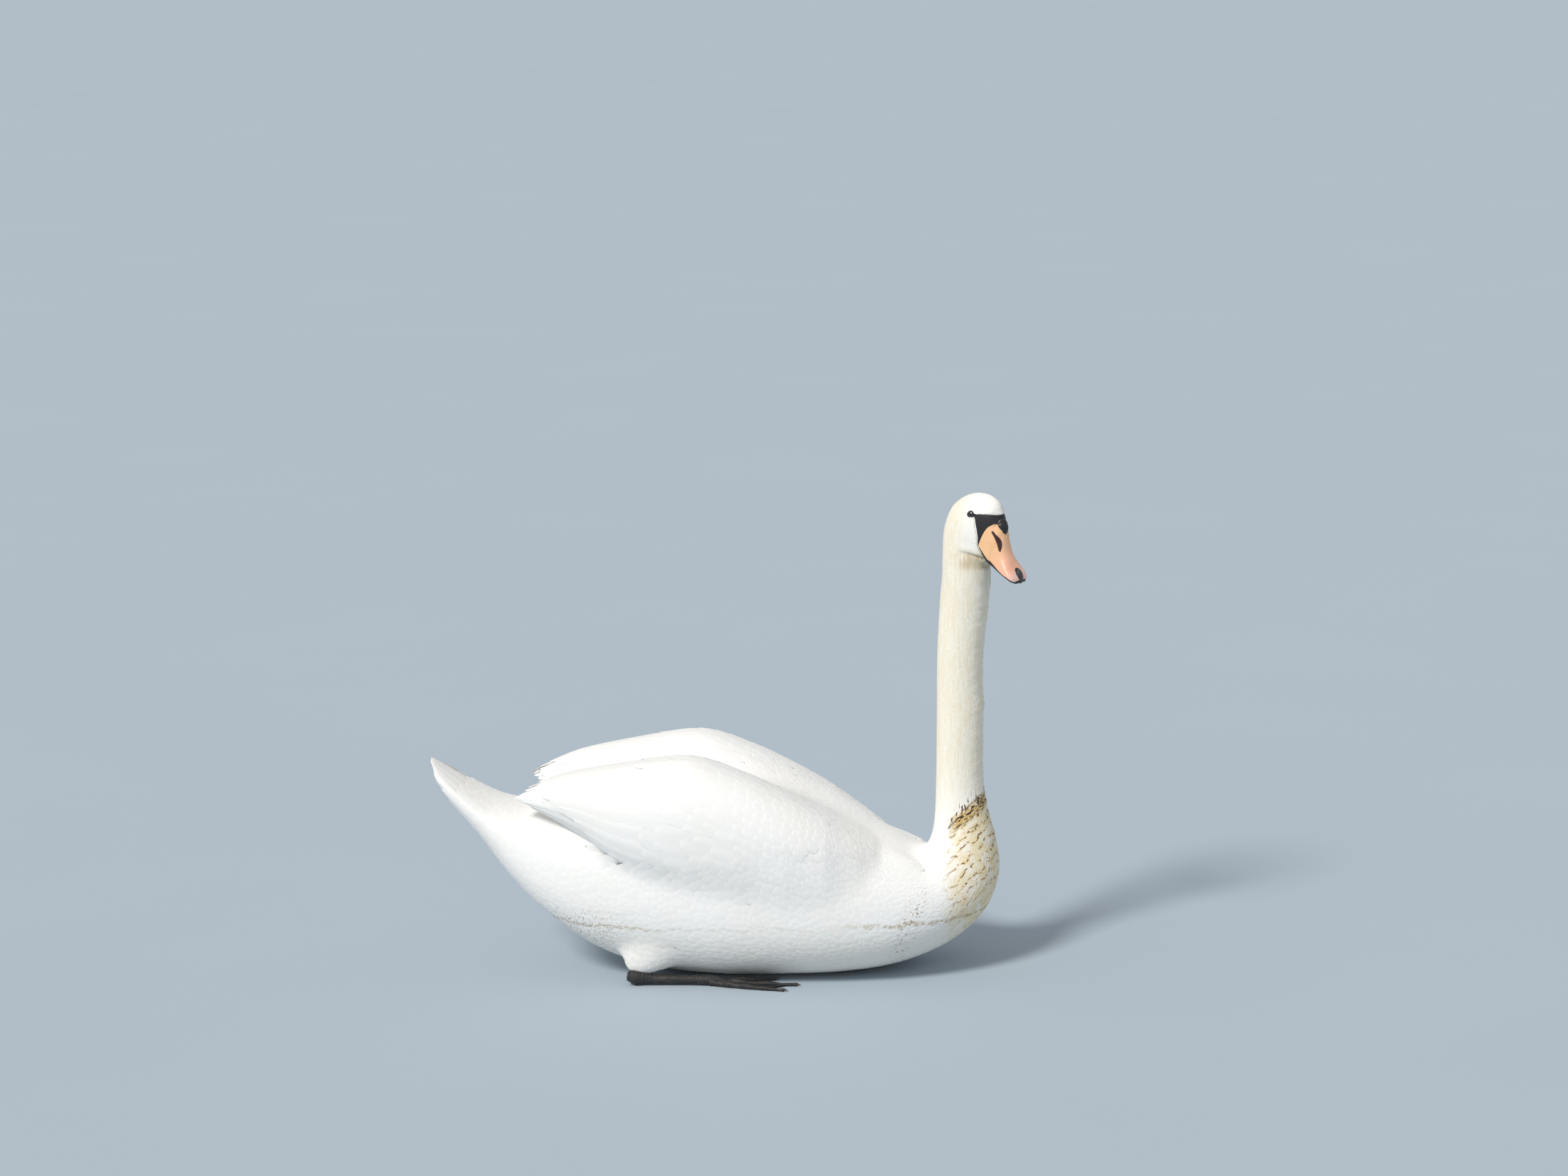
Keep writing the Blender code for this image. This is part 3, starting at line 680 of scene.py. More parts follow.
def about_eye(across, up, out, side):
    """Points round an eye: out is sideways from the head, across forward and up upward."""
    x, y, z = EYE_AT
    local = np.stack([x + across, side * (y - EYE_SUNK + out), z + up], axis=-1)
    return placed(turned(local))


def eye_ball(side):
    """A ball whose radius swells by a bell curve round its outward pole."""
    tip, round_it = round_grid(np.linspace(0.02, np.pi - 0.02, 40), 48)
    radius = EYE_RADIUS * (1 + 0.05 * np.exp(-(tip / 0.55) ** 2))
    across = radius * np.sin(tip) * np.cos(round_it)
    up = radius * np.sin(tip) * np.sin(round_it)
    return about_eye(across, up, radius * np.cos(tip), side), tip


def eye_lids(side):
    """A rim round the eye: it rises over the ball's edge, rolls over and runs into the skin.

    The rim's profile is carried round an oval, and closed behind by its own underside.
    """
    profile = np.array([(0.0040, 0.0049), (0.0042, 0.0054), (0.0045, 0.0056), (0.0048, 0.0054),
                        (0.0051, 0.0048), (0.0054, 0.0037), (0.0057, 0.0022), (0.0056, 0.0004),
                        (0.0050, -0.0004), (0.0042, 0.0020)])
    station, round_it = round_grid(np.linspace(0, len(profile), 31)[:-1], 64)
    edge = read_table(np.vstack([profile, profile[:1]]), station)
    wrinkle = 1 + 0.007 * np.sin(17 * round_it) + 0.006 * np.sin(29 * round_it + 1)
    corner = 1.12 + 0.07 * np.cos(round_it)
    across = edge[..., 0] * np.cos(round_it) * corner * wrinkle
    up = edge[..., 0] * np.sin(round_it) * 0.93 * wrinkle
    lean = 0.10 * across
    return about_eye(across, up, edge[..., 1] - lean, side)


eye_look, tree, shader = new_look("eye")
gaze = marked(tree, "gaze")
rays = noise(tree, place_in(tree), 1500.0)
iris = tint(tree, rays, IRIS_DARK, IRIS_LIGHT)
seen = tint(tree, rise(tree, gaze, 0.36, 0.40), PUPIL, iris)
seen = tint(tree, rise(tree, gaze, 0.68, 0.74), seen, EYE_RIM)
finish(tree, shader, seen, 0.06, Coat_Weight=1.0, Coat_Roughness=0.02)

black_look, tree, shader = new_look("black_skin")
place = place_in(tree)
patches = noise(tree, place, 120.0)
colour = tint(tree, rise(tree, patches, 0.35, 0.70), BLACK_SKIN, BLACK_SKIN_WORN)
finish(tree, shader, colour, 0.42)
grains = node(tree, "TexVoronoi", {"Vector": place, "Scale": 900.0}).outputs["Distance"]
bump(tree, shader, grains, 0.0003, 0.25)

for label, side in (("left", 1), ("right", -1)):
    ball, tip = eye_ball(side)
    points, faces = closed_tube(ball)
    mesh = mesh_of("eyeball_" + label, points, *faces)
    mark(mesh, "gaze", np.append(tip.ravel(), (0, np.pi)))
    eye = piece("eyeball_" + label, mesh, eye_look)
    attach(eye, "root")
    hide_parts("eye_" + label)
    rim = eye_lids(side).transpose(1, 0, 2)
    quads = grid_faces(len(rim) + 1, rim.shape[1])[0] % (rim.shape[0] * rim.shape[1])
    lids = piece("lids_" + label, mesh_of("lids_" + label, rim, quads), black_look)
    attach(lids, "root")

# --- Bill -------------------------------------------------------------------------------
# The upper half is peach-coloured horn, arched and broad towards the tip, with a black rim
# along its cutting edge and a long nostril on each side, a shallow hollow darkened with
# painted shade. The lower half is black.
GAPE = (0.3784, 0.6349)
BILL_DIP = math.radians(41.6)
# Sections of the upper half: the length along the mouth's line and the height above it, of
# the ridge and then of the cutting edge, half width and fullness.
BILL = (
    (-0.0092, 0.0438, 0.0000, -0.0012, 0.0218, 2.7), (0.0060, 0.0420, 0.0225, -0.0060, 0.0194, 2.5),
    (0.0176, 0.0335, 0.0290, -0.0066, 0.0178, 2.4), (0.0345, 0.0208, 0.0390, -0.0058, 0.0174, 2.4),
    (0.0477, 0.0150, 0.0500, -0.0040, 0.0190, 2.6), (0.0586, 0.0114, 0.0590, -0.0020, 0.0204, 3.0),
    (0.0670, 0.0098, 0.0670, -0.0002, 0.0206, 3.0), (0.0740, 0.0074, 0.0740, 0.0004, 0.0178, 2.7),
    (0.0788, 0.0040, 0.0788, 0.0004, 0.0108, 2.3),
)
# The lower half: the length along the mouth's line, and its depth below it.
JAW = ((0.0060, 0.0078), (0.0250, 0.0080), (0.0390, 0.0060), (0.0540, 0.0052), (0.0650, 0.0040),
       (0.0720, 0.0022))
NOSTRIL = ((0.4012, 0.6552), (0.4120, 0.6280))
NOSTRIL_HALF_WIDTH = 0.0027
NOSTRIL_BOW = 0.0028
NOSTRIL_DEPTH = 0.0026
NOSTRIL_LIP = 0.0004
HORN_MIDDLE, HORN_TIP = (0.89, 0.47, 0.33, 1), (0.90, 0.60, 0.50, 1)
HORN_RED, HORN_PALE = (0.84, 0.40, 0.24, 1), (0.95, 0.72, 0.55, 1)
# The nostril's near-black is painted shade, standing for an open hole in the horn.
NOSTRIL_SHADE = (0.055, 0.022, 0.022, 1)


def from_mouth(along, above):
    """Turn a distance along the mouth's line and a height above it into x and z."""
    x = GAPE[0] + along * math.cos(BILL_DIP) + above * math.sin(BILL_DIP)
    z = GAPE[1] - along * math.sin(BILL_DIP) + above * math.cos(BILL_DIP)
    return x, z


def bill_form(ridge, edge, half_width, fullness, angle):
    """One arched section: a superellipse above the edge, and a nearly flat floor below it."""
    across, up = arch(angle, fullness)
    share = np.where(up >= 0, 0.05 + 0.95 * up, 0.05 + 0.05 * up)
    x, z = (low + share * (top - low) for top, low in zip(ridge, edge))
    return np.stack([x, half_width * across, z], axis=-1)


def press_nostrils(points, angle):
    """Press a long nostril into each side of the upper half, and return how deep it is.

    It goes by the distance to a short bowed slanting line: nearer than the half width there,
    the side sinks along a bell curve, and just past it the side rises in a low lip.
    """
    start, end = np.array(NOSTRIL)
    offset = points[..., [0, 2]] - start
    run = end - start
    share = np.clip((offset @ run) / (run @ run), 0, 1)
    beside = (offset - share[..., None] * run) @ np.array([-run[1], run[0]]) / np.hypot(*run)
    past = np.linalg.norm(offset - share[..., None] * run, axis=-1) - np.abs(beside)
    distance = np.hypot(beside - NOSTRIL_BOW * np.sin(np.pi * share), past)
    width = NOSTRIL_HALF_WIDTH * (0.30 + 0.70 * np.sin(np.pi * share ** 1.3) ** 0.7)
    upper_side = np.cos(angle) > -0.02
    hollow = np.exp(-(distance / width) ** 4) * upper_side
    lip = np.exp(-((distance / width - 1.45) / 0.35) ** 2) * upper_side
    sideways = np.sign(points[..., 1]) * (np.abs(points[..., 1]) > 0.003)
    points[..., 1] += sideways * (NOSTRIL_LIP * lip - NOSTRIL_DEPTH * hollow)
    return hollow


def upper_bill(rows, count):
    """The upper half, its nostrils pressed in and its cutting edge rolled out.

    Each section is an arch from the cutting edge to the ridge, and the edge swells by a bell
    curve of the angle. Returned with it are marks for the nostrils, the rim and the lores, and
    the share of the length.
    """
    u, angle = round_grid(np.linspace(0, len(BILL) - 1, rows), count)
    row = read_table(BILL, u)
    ridge = from_mouth(row[..., 0], row[..., 1])
    edge = from_mouth(row[..., 2], row[..., 3])
    points = bill_form(ridge, edge, row[..., 4], row[..., 5], angle)
    hollow = press_nostrils(points, angle)
    turn_down = np.exp(-((angle % np.pi - np.pi / 2) / 0.10) ** 2) * smooth_step(u, 0.4, 1.2)
    points[..., 1] += np.sign(points[..., 1]) * 0.0005 * turn_down
    height = np.hypot(points[..., 0] - edge[0], points[..., 2] - edge[1])
    rim = np.maximum(smooth_step(height, 0.0026, 0.0018), smooth_step(u, 7.45, 7.8))
    behind = np.where(u < 2.5, -MILLIMETRES * to_horn(points), -FAR)
    return points, hollow, rim, behind, u / (len(BILL) - 1)


horn_look, tree, shader = new_look("peach_horn")
place = place_in(tree)
length = marked(tree, "length")
mottle = noise(tree, place, 95.0)
colour = tint(tree, rise(tree, length, 0.15, 0.60), HORN_ROOT, HORN_MIDDLE)
colour = tint(tree, rise(tree, length, 0.62, 0.86), colour, HORN_TIP)
colour = tint(tree, times(tree, rise(tree, mottle, 0.45, 0.75), 0.35), colour, HORN_RED)
fine = noise(tree, place, 520.0, (1, 1, 0.35))
colour = tint(tree, times(tree, rise(tree, fine, 0.55, 0.75), 0.25), colour, HORN_PALE)
# Painted shade: the nostril's shallow hollow is darkened to stand for the shade inside an open
# nostril.
hole = marked(tree, "nostril")
colour = tint(tree, rise(tree, hole, 0.12, 0.50), colour, NOSTRIL_SHADE)
rim = marked(tree, "rim")
behind = marked(tree, "behind")
edge = calc(tree, "MAXIMUM", rise(tree, rim, 0.35, 0.65), rise(tree, behind, -0.2, 0.2))
colour = tint(tree, edge, colour, BLACK_SKIN)
finish(tree, shader, colour, 0.38, Specular_IOR_Level=0.45)
bump(tree, shader, fine, 0.0003, 0.35)

shape, hollow, rim, behind, length = upper_bill(rows=150, count=120)
points, faces = closed_tube(placed(turned(shape)))
mesh = mesh_of("upper_bill", points, *faces)
mark(mesh, "nostril", np.append(hollow.ravel(), (0, 0)))
mark(mesh, "rim", np.append(rim.ravel(), (1, 1)))
mark(mesh, "behind", np.append(behind.ravel(), (FAR, -FAR)))
mark(mesh, "length", np.append(length.ravel(), (0, 1)))
bill = piece("upper_bill", mesh, horn_look)
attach(bill, "root")
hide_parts("bill_upper")

JAW_NARROWER = 0.86
JAW_GAP = 0.0003


def lower_bill(rows, count):
    """The lower half: the same arch turned over, under the cutting edge of the upper half."""
    u, angle = round_grid(np.linspace(0, len(JAW) - 1, rows), count)
    along, depth = np.moveaxis(read_table(JAW, u), -1, 0)
    upper = np.array(BILL)
    edge = np.interp(along, upper[:, 2], upper[:, 3])
    half_width = JAW_NARROWER * np.interp(along, upper[:, 2], upper[:, 4])
    ridges = 1 + 0.012 * np.sin(5 * angle) * np.cos(u * 6)
    return bill_form(from_mouth(along, edge - depth), from_mouth(along, edge - JAW_GAP),
                     half_width * ridges, 2.3, angle)


points, faces = closed_tube(placed(turned(lower_bill(rows=60, count=64))))
jaw = piece("lower_bill", mesh_of("lower_bill", points, *faces), black_look)
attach(jaw, "root")
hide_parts("bill_lower")

# The nail is a shield of darker horn let into the tip, hooked down over the lower half.
# The knob is a small lump of black skin over the root, creased across.
NAIL_AT = (0.0705, 0.0070)
NAIL_RADII = (0.0116, 0.0077, 0.0037)
NAIL_TILT = BILL_DIP + math.radians(30)
KNOB_AT = (0.4054, 0.6634)
KNOB_RADII = (0.0150, 0.0096, 0.0090)
KNOB_TILT = math.radians(65)
SLATE_DARK, SLATE_LIGHT = (0.040, 0.038, 0.041, 1), (0.105, 0.100, 0.104, 1)
SLATE_EDGE = (0.015, 0.014, 0.015, 1)


GLOBE_ROWS = np.linspace(0.03, np.pi - 0.03, 56)
GLOBE_ROUND = 72


def lump(centre, radii, tilt, bend, creases):
    """An ellipsoid, its long axis tipped nose down by tilt, and drooped by bend.

    Creases run across it: its radius falls where a sine of the distance along it is high.
    """
    tip, angle = round_grid(GLOBE_ROWS, GLOBE_ROUND)
    swell_by = 1 - creases * np.maximum(0, np.sin(9 * tip + 1.2 * np.sin(2 * angle))) ** 3
    swell_by = swell_by + creases * 0.5 * np.sin(3 * angle + 4 * tip) * np.sin(tip)
    ahead = radii[0] * np.cos(tip)
    across = radii[1] * np.sin(tip) * np.sin(angle) * swell_by
    up = radii[2] * np.sin(tip) * np.cos(angle) * swell_by - bend * (ahead / radii[0]) ** 2
    x = centre[0] + ahead * math.cos(tilt) + up * math.sin(tilt)
    z = centre[1] - ahead * math.sin(tilt) + up * math.cos(tilt)
    return placed(turned(np.stack([x, across, z], axis=-1)))


slate_look, tree, shader = new_look("slate_horn")
place = place_in(tree)
streak = noise(tree, place, 240.0, (1, 1, 0.3))
slate = tint(tree, rise(tree, streak, 0.35, 0.70), SLATE_DARK, SLATE_LIGHT)
edge = rise(tree, marked(tree, "edge"), 0.72, 0.90)
finish(tree, shader, tint(tree, edge, slate, SLATE_EDGE), 0.35)
bump(tree, shader, streak, 0.0003, 0.5)

shape = lump(from_mouth(*NAIL_AT), NAIL_RADII, NAIL_TILT, bend=0.0012, creases=0.0)
points, faces = closed_tube(shape)
mesh = mesh_of("nail", points, *faces)
tip, angle = round_grid(GLOBE_ROWS, GLOBE_ROUND)
from_middle = np.sqrt(np.cos(tip) ** 2 + (np.sin(tip) * np.sin(angle)) ** 2)
mark(mesh, "edge", np.append(from_middle.ravel(), (1, 1)))
nail = piece("nail", mesh, slate_look)
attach(nail, "root")
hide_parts("bill_nail")

points, faces = closed_tube(lump(KNOB_AT, KNOB_RADII, KNOB_TILT, bend=0.0, creases=0.055))
knob = piece("knob", mesh_of("knob", points, *faces), black_look)
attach(knob, "root")
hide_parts("bill_knob")

# --- Legs and feet ----------------------------------------------------------------------
# The shanks lie forward along the floor from the hock, with the webbed feet flat in front of
# them. They are black, with rings of scutes on top of the toes and a horn claw on each.
FOOT_SIDE = 0.106
HOCK_X = -0.150
TARSUS_LENGTH = 0.105
TOE_X = HOCK_X + TARSUS_LENGTH
# The shank: x and z of its middle, and its radius.
SHANK = (
    (HOCK_X - 0.010, 0.0135, 0.0060), (HOCK_X - 0.006, 0.0130, 0.0085),
    (HOCK_X + 0.002, 0.0125, 0.0115), (HOCK_X + 0.014, 0.0115, 0.0095),
    (HOCK_X + 0.030, 0.0090, 0.0072), (TOE_X - 0.040, 0.0084, 0.0066),
    (TOE_X - 0.018, 0.0080, 0.0066), (TOE_X - 0.004, 0.0076, 0.0074),
    (TOE_X + 0.008, 0.0074, 0.0073), (TOE_X + 0.020, 0.0064, 0.0062),
    (TOE_X + 0.030, 0.0048, 0.0044),
)
# Each toe: how far out its root is, its reach forward and out, its radius and its joints.
TOES = (
    (-0.0031, 0.100, -0.022, 0.0052, 2),
    (0.0003, 0.134, 0.006, 0.0058, 3),
    (0.0033, 0.117, 0.032, 0.0051, 4),
)
TOE_HIDDEN = 0.006
TOE_BOW = 0.0022
TOE_LEAST_Z = 0.0018
HIND_TOE = ((TOE_X - 0.006, -0.007, 0.0065), (TOE_X - 0.014, -0.013, 0.0050),
            (TOE_X - 0.024, -0.017, 0.0032))
HIND_RADII = (0.0030, 0.0027, 0.0018)
WEB_REACH = 0.90
WEB_THICKNESS = 0.0016
WEB_HEIGHT = 0.0022
CLAW_LENGTH = 0.013
CLAW_RADIUS = 0.0024
CLAW_DARK, CLAW_LIGHT = (0.020, 0.018, 0.016, 1), (0.075, 0.066, 0.056, 1)
SCALE_DARK, SCALE_LIGHT = (0.012, 0.011, 0.011, 1), (0.038, 0.036, 0.036, 1)
DUST = (0.085, 0.080, 0.074, 1)
FLOOR_GAP = 0.0002


def limb(path, radii, scutes, rows, count=20):
    """A round section carried along a nearly level path, ridged on top like lapping scutes.

    The path and radii are read as smooth curves. The ridge is a saw of the distance along it.
    """
    s = np.linspace(0, len(path) - 1, rows)
    spine = read_table(path, s)
    ahead = np.gradient(spine, axis=0)
    ahead = ahead / np.linalg.norm(ahead, axis=1, keepdims=True)
    across = np.cross((0, 0, 1.0), ahead)
    across = across / np.linalg.norm(across, axis=1, keepdims=True)
    up = np.cross(ahead, across)
    angle = np.linspace(0, 2 * np.pi, count, endpoint=False)
    saw = (np.linspace(0, scutes, rows) % 1)[:, None]
    ridge = 1 + 0.11 * saw * np.clip(np.cos(angle)[None], 0, 1) ** 0.5
    radius = read_table(np.array(radii)[:, None], s) * ridge
    points = (spine[:, None] + (radius * np.sin(angle))[..., None] * across[:, None]
              + (radius * np.cos(angle))[..., None] * up[:, None])
    points[..., 2] = np.maximum(points[..., 2], FLOOR_GAP)
    return placed(points)


def toe_spine(toe, side, stops):
    """The toe's line from its root to its tip, bowed a little sideways."""
    root, ahead, out = toe[:3]
    bow = TOE_BOW * np.sin(np.pi * stops) * np.sign(out)
    x = TOE_X + TOE_HIDDEN + (ahead - TOE_HIDDEN) * stops
    return np.stack([x, side * (FOOT_SIDE + root + (out - root) * stops + bow), 0 * stops], axis=-1)


def toe_radii(toe, stops):
    """The toe's radius: it tapers, and swells at its joints."""
    radius, joints = toe[3:]
    return radius * (1 - 0.62 * stops) * (1 + 0.16 * np.cos(2 * np.pi * joints * stops))


def web(first, second, side):
    """Skin between two toes: a sheet with two faces, gathered in ripples from the root.

    Across it runs from toe to toe, along it from the root to a rim that is drawn in.
    """
    along = np.linspace(0.06, 1, 34)[:, None]
    across = np.concatenate([np.linspace(0, 1, 15), np.linspace(1, 0, 15)])[None]
    face = np.repeat((1.0, -1.0), 15)[None]
    drawn_in = 0.16 * np.sin(np.pi * across) * along ** 2
    stop = WEB_REACH * (along - drawn_in)
    a = toe_spine(first, side, stop)
    b = toe_spine(second, side, stop)
    points = a + across[..., None] * (b - a)
    thick = 0.5 * WEB_THICKNESS * (0.55 + 0.45 * np.abs(2 * across - 1)) * (1 - 0.4 * along)
    ripple = 0.00045 * np.sin(7 * np.pi * across) * np.sin(np.pi * across) * np.sin(26 * along)
    points[..., 2] = WEB_HEIGHT + face * thick + ripple + 0.0010 * (1 - along)
    return placed(points)


def claw(toe, side):
    """A claw: a round section that shrinks along a short hook."""
    s = np.linspace(0, 1, 18)
    tip = toe_spine(toe, side, np.array([0.94, 1.0]))
    way = (tip[1] - tip[0]) / np.linalg.norm(tip[1] - tip[0])
    height = 0.0026 + 0.0016 * np.sin(np.pi * s * 0.9) - 0.0014 * s
    spine = tip[0] + s[:, None] * way * CLAW_LENGTH
    spine[:, 2] = height
    radii = CLAW_RADIUS * (1 - 0.93 * s ** 1.4)
    return limb(spine, radii, scutes=0, rows=18, count=14)


def joined(shapes):
    """Put several closed grids into one set of points and faces, each turned to face outward.

    A grid whose volume comes out less than 0 has its faces reversed.
    """
    points, quads, fans, total = [], [], [], 0
    for shape in shapes:
        own, (square, fan) = closed_tube(shape)
        first, second, last = (own[square[:, k]] for k in (0, 1, 3))
        volume = np.einsum("ij,ij->i", first, np.cross(second, last)).sum()
        quads.append((square if volume > 0 else square[:, ::-1]) + total)
        fans.append((fan if volume > 0 else fan[:, ::-1]) + total)
        points.append(own)
        total += len(own)
    return np.vstack(points), np.vstack(quads), np.vstack(fans)


claw_look, tree, shader = new_look("claw_horn")
grain = noise(tree, place_in(tree), 300.0, (0.3, 1, 1))
finish(tree, shader, tint(tree, grain, CLAW_DARK, CLAW_LIGHT), 0.30)
bump(tree, shader, grain, 0.0002, 0.5)

scale_look, tree, shader = new_look("scaly_skin")
place = place_in(tree)
cells = node(tree, "TexVoronoi", {"Vector": place, "Scale": 420.0},
             feature="DISTANCE_TO_EDGE").outputs[0]
dust = noise(tree, place, 60.0)
colour = tint(tree, rise(tree, cells, 0.02, 0.25), SCALE_DARK, SCALE_LIGHT)
colour = tint(tree, times(tree, rise(tree, dust, 0.50, 0.75), 0.35), colour, DUST)
finish(tree, shader, colour, 0.50)
bump(tree, shader, rise(tree, cells, 0.0, 0.20), 0.0004, 0.7)

stops = np.linspace(0, 1, 12)
for label, side in (("left", 1), ("right", -1)):
    shank_path = [(x, side * FOOT_SIDE, z) for x, z, radius in SHANK]
    shank = limb(shank_path, [radius for x, z, radius in SHANK], scutes=26, rows=130, count=28)
    leg = piece("shank_" + label, mesh_of("shank_" + label, *joined([shank])), scale_look)
    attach(leg, "root")
    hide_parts("leg_" + label)
    shapes = []
    for toe in TOES:
        spine = toe_spine(toe, side, stops)
        radii = toe_radii(toe, stops)
        spine[:, 2] = np.maximum(radii, TOE_LEAST_Z)
        shapes.append(limb(spine, radii, scutes=30, rows=150))
    hind = np.array(HIND_TOE) * (1, side, 1) + (0, side * FOOT_SIDE, 0)
    shapes.append(limb(hind, HIND_RADII, scutes=8, rows=40))
    shapes += [web(TOES[0], TOES[1], side), web(TOES[1], TOES[2], side)]
    foot = piece("webbed_foot_" + label, mesh_of("webbed_foot_" + label, *joined(shapes)),
                 scale_look)
    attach(foot, "root")
    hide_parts("foot_" + label)
    nails = joined([claw(toe, side) for toe in TOES])
    claws = piece("claws_" + label, mesh_of("claws_" + label, *nails), claw_look)
    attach(claws, "root")

# --- Coat of the body -------------------------------------------------------------------
# Contour feathers lie in rows from the bill to the tail, each row over the roots of the row
# behind it. Each is a thin vane with a low ridge along its shaft, rooted near the skin.
# All are laid on a hide, a grid over the plumage's outline that knows the coat's depth.
chance = np.random.default_rng(11)
HIDE_ROWS = 30
HIDE_ROUND = 288
DEEPEST = 0.0075
LEAST_STRIDE = 0.004
# The way that vanes point: the body's rows are numbered from the tail, the wing's to the tip.
DOWN_ROWS, UP_ROWS = -1, 1
LEVEL_FROM = 0.12
VANE_LEAST_Z = 0.0003
PATCH_SIZE = 0.0030
BARB_SHADE = (0.66, 0.64, 0.60, 1)


def read_grid(grid, u, v, span):
    """Read a grid of values between its points; u runs to span, and v wraps at a full turn."""
    rows, columns = grid.shape[0] - 1, grid.shape[1] - 1
    down = np.clip(u / span * rows, 0, rows - 1e-6)
    round_it = (v / (2 * np.pi)) % 1 * columns
    i, j = down.astype(int), round_it.astype(int) % columns
    f, g = down - i, round_it - np.floor(round_it)
    if grid.ndim == 3:
        f, g = f[..., None], g[..., None]
    return ((grid[i, j] * (1 - g) + grid[i, j + 1] * g) * (1 - f)
            + (grid[i + 1, j] * (1 - g) + grid[i + 1, j + 1] * g) * f)


def make_hide(outline, skin_grid, span):
    """A hide: its outline, how far a step of u or v goes on it, its outward way and its depth."""
    steps = (span / (outline.shape[0] - 1), 2 * np.pi / (outline.shape[1] - 1))
    down, round_it = np.gradient(outline, *steps, axis=(0, 1))
    along, across = np.linalg.norm(down, axis=-1), np.linalg.norm(round_it, axis=-1)
    outward = np.cross(down, round_it)
    outward = outward / np.maximum(np.linalg.norm(outward, axis=-1, keepdims=True), 1e-12)
    inward = outline[:, :-1].mean(axis=1, keepdims=True) - outline
    outward = outward * -np.sign((outward * inward).sum(axis=-1).mean())
    depth = np.minimum(np.linalg.norm(outline - skin_grid, axis=-1), DEEPEST)
    return {"outline": outline, "span": span, "along": along, "across": across,
            "outward": outward, "depth": depth}


OUTLINE_INSET = 0.0002
u, v = met_grid(np.linspace(0, ROW["face"], ROW["face"] * HIDE_ROWS + 1), HIDE_ROUND)
full_rows = u[:, 0]
outer = take_in(body_surface(u, v, OUTLINE_INSET + 0 * u), full_rows, 0, 0)
inner = take_in(body_surface(u, v, along_rows(COAT_DEPTH, u)), full_rows, WING_DEPTH, THIGH_DEPTH)
body_hide = make_hide(outer, inner, ROW["face"])

# The length of each feather that shows, and how far apart its neighbours in a row stand.
EXPOSED = {"tail_tip": 0.0180, "vent": 0.0150, "rump": 0.0115, "back": 0.0105, "shoulder": 0.0090,
           "breast": 0.0070, "crop": 0.0055, "neck_foot": 0.0044, "neck_1": 0.0036,
           "neck_top": 0.0030, "occiput": 0.0024, "brow": 0.0019, "face": 0.0014}
SPACED = {"tail_tip": 0.0150, "vent": 0.0135, "rump": 0.0115, "back": 0.0105, "shoulder": 0.0085,
          "breast": 0.0058, "crop": 0.0046, "neck_foot": 0.0036, "neck_1": 0.0026,
          "neck_top": 0.0022, "occiput": 0.0018, "brow": 0.0015, "face": 0.0013}
row_pace = np.percentile(body_hide["along"], 88, axis=1)
row_count = np.cumsum(row_pace / along_rows(EXPOSED, full_rows)) / HIDE_ROWS
girth_pace = body_hide["across"][:, :-1].mean(axis=1)


def body_unwrap(u, v):
    """The skin's own unwrap: round it by the angle, and along it evenly by rows of feathers."""
    up = np.interp(u, full_rows, row_count) / row_count[-1]
    return np.stack([0.01 + 0.98 * (v / (2 * np.pi) % 1), 0.01 + 0.98 * up], axis=-1)


def rows_of_roots(start, end):
    """Roots of the feathers from row start to row end, staggered like tiles.

    Rows stand one exposed length apart. Each has as many feathers as its girth has room for.
    """
    low, high = np.interp((start, end), full_rows, row_count)
    rows = np.arange(int(low) + 1, int(high) + 1)
    u_rows = np.interp(rows, row_count, full_rows)
    girth = np.interp(u_rows, full_rows, girth_pace * 2 * np.pi)
    count = np.round(girth / along_rows(SPACED, u_rows)).astype(int)
    row = np.repeat(np.arange(len(rows)), count)
    place = np.arange(count.sum()) - np.repeat(np.cumsum(count) - count, count)
    step = 2 * np.pi / count[row]
    v = (place + 0.5 * (rows[row] % 2) + chance.uniform(-0.22, 0.22, len(row))) * step
    shift = along_rows(EXPOSED, u_rows[row]) / np.interp(u_rows[row], full_rows, row_pace)
    u = u_rows[row] + chance.uniform(-0.25, 0.25, len(row)) * shift
    return np.clip(u, 0, ROW["face"] - 0.02), v, step


def vane_form(stations, widths, across, heights):
    """One feather's closed form, from a root point through rings to a tip point.

    Each ring runs over the top from edge to edge, and closes across the underside. Returns
    each point's share of the length and of the half width, its share of the ridge's height,
    and the triangles.
    """
    ring = len(across)
    a = np.concatenate([[0], np.repeat(stations, ring), [1]])
    b = np.concatenate([[0], np.outer(widths, across).ravel(), [0]])
    h = np.concatenate([[0], np.tile(heights, len(stations)), [0]])
    faces = []
    for j in range(ring):
        k = (j + 1) % ring
        faces.append((0, 1 + j, 1 + k))
        for i in range(len(stations) - 1):
            here, there = 1 + i * ring, 1 + (i + 1) * ring
            faces.append((here + j, there + j, there + k))
            faces.append((here + j, there + k, here + k))
        last = 1 + (len(stations) - 1) * ring
        faces.append((last + j, len(a) - 1, last + k))
    return a, b, h, np.array(faces)


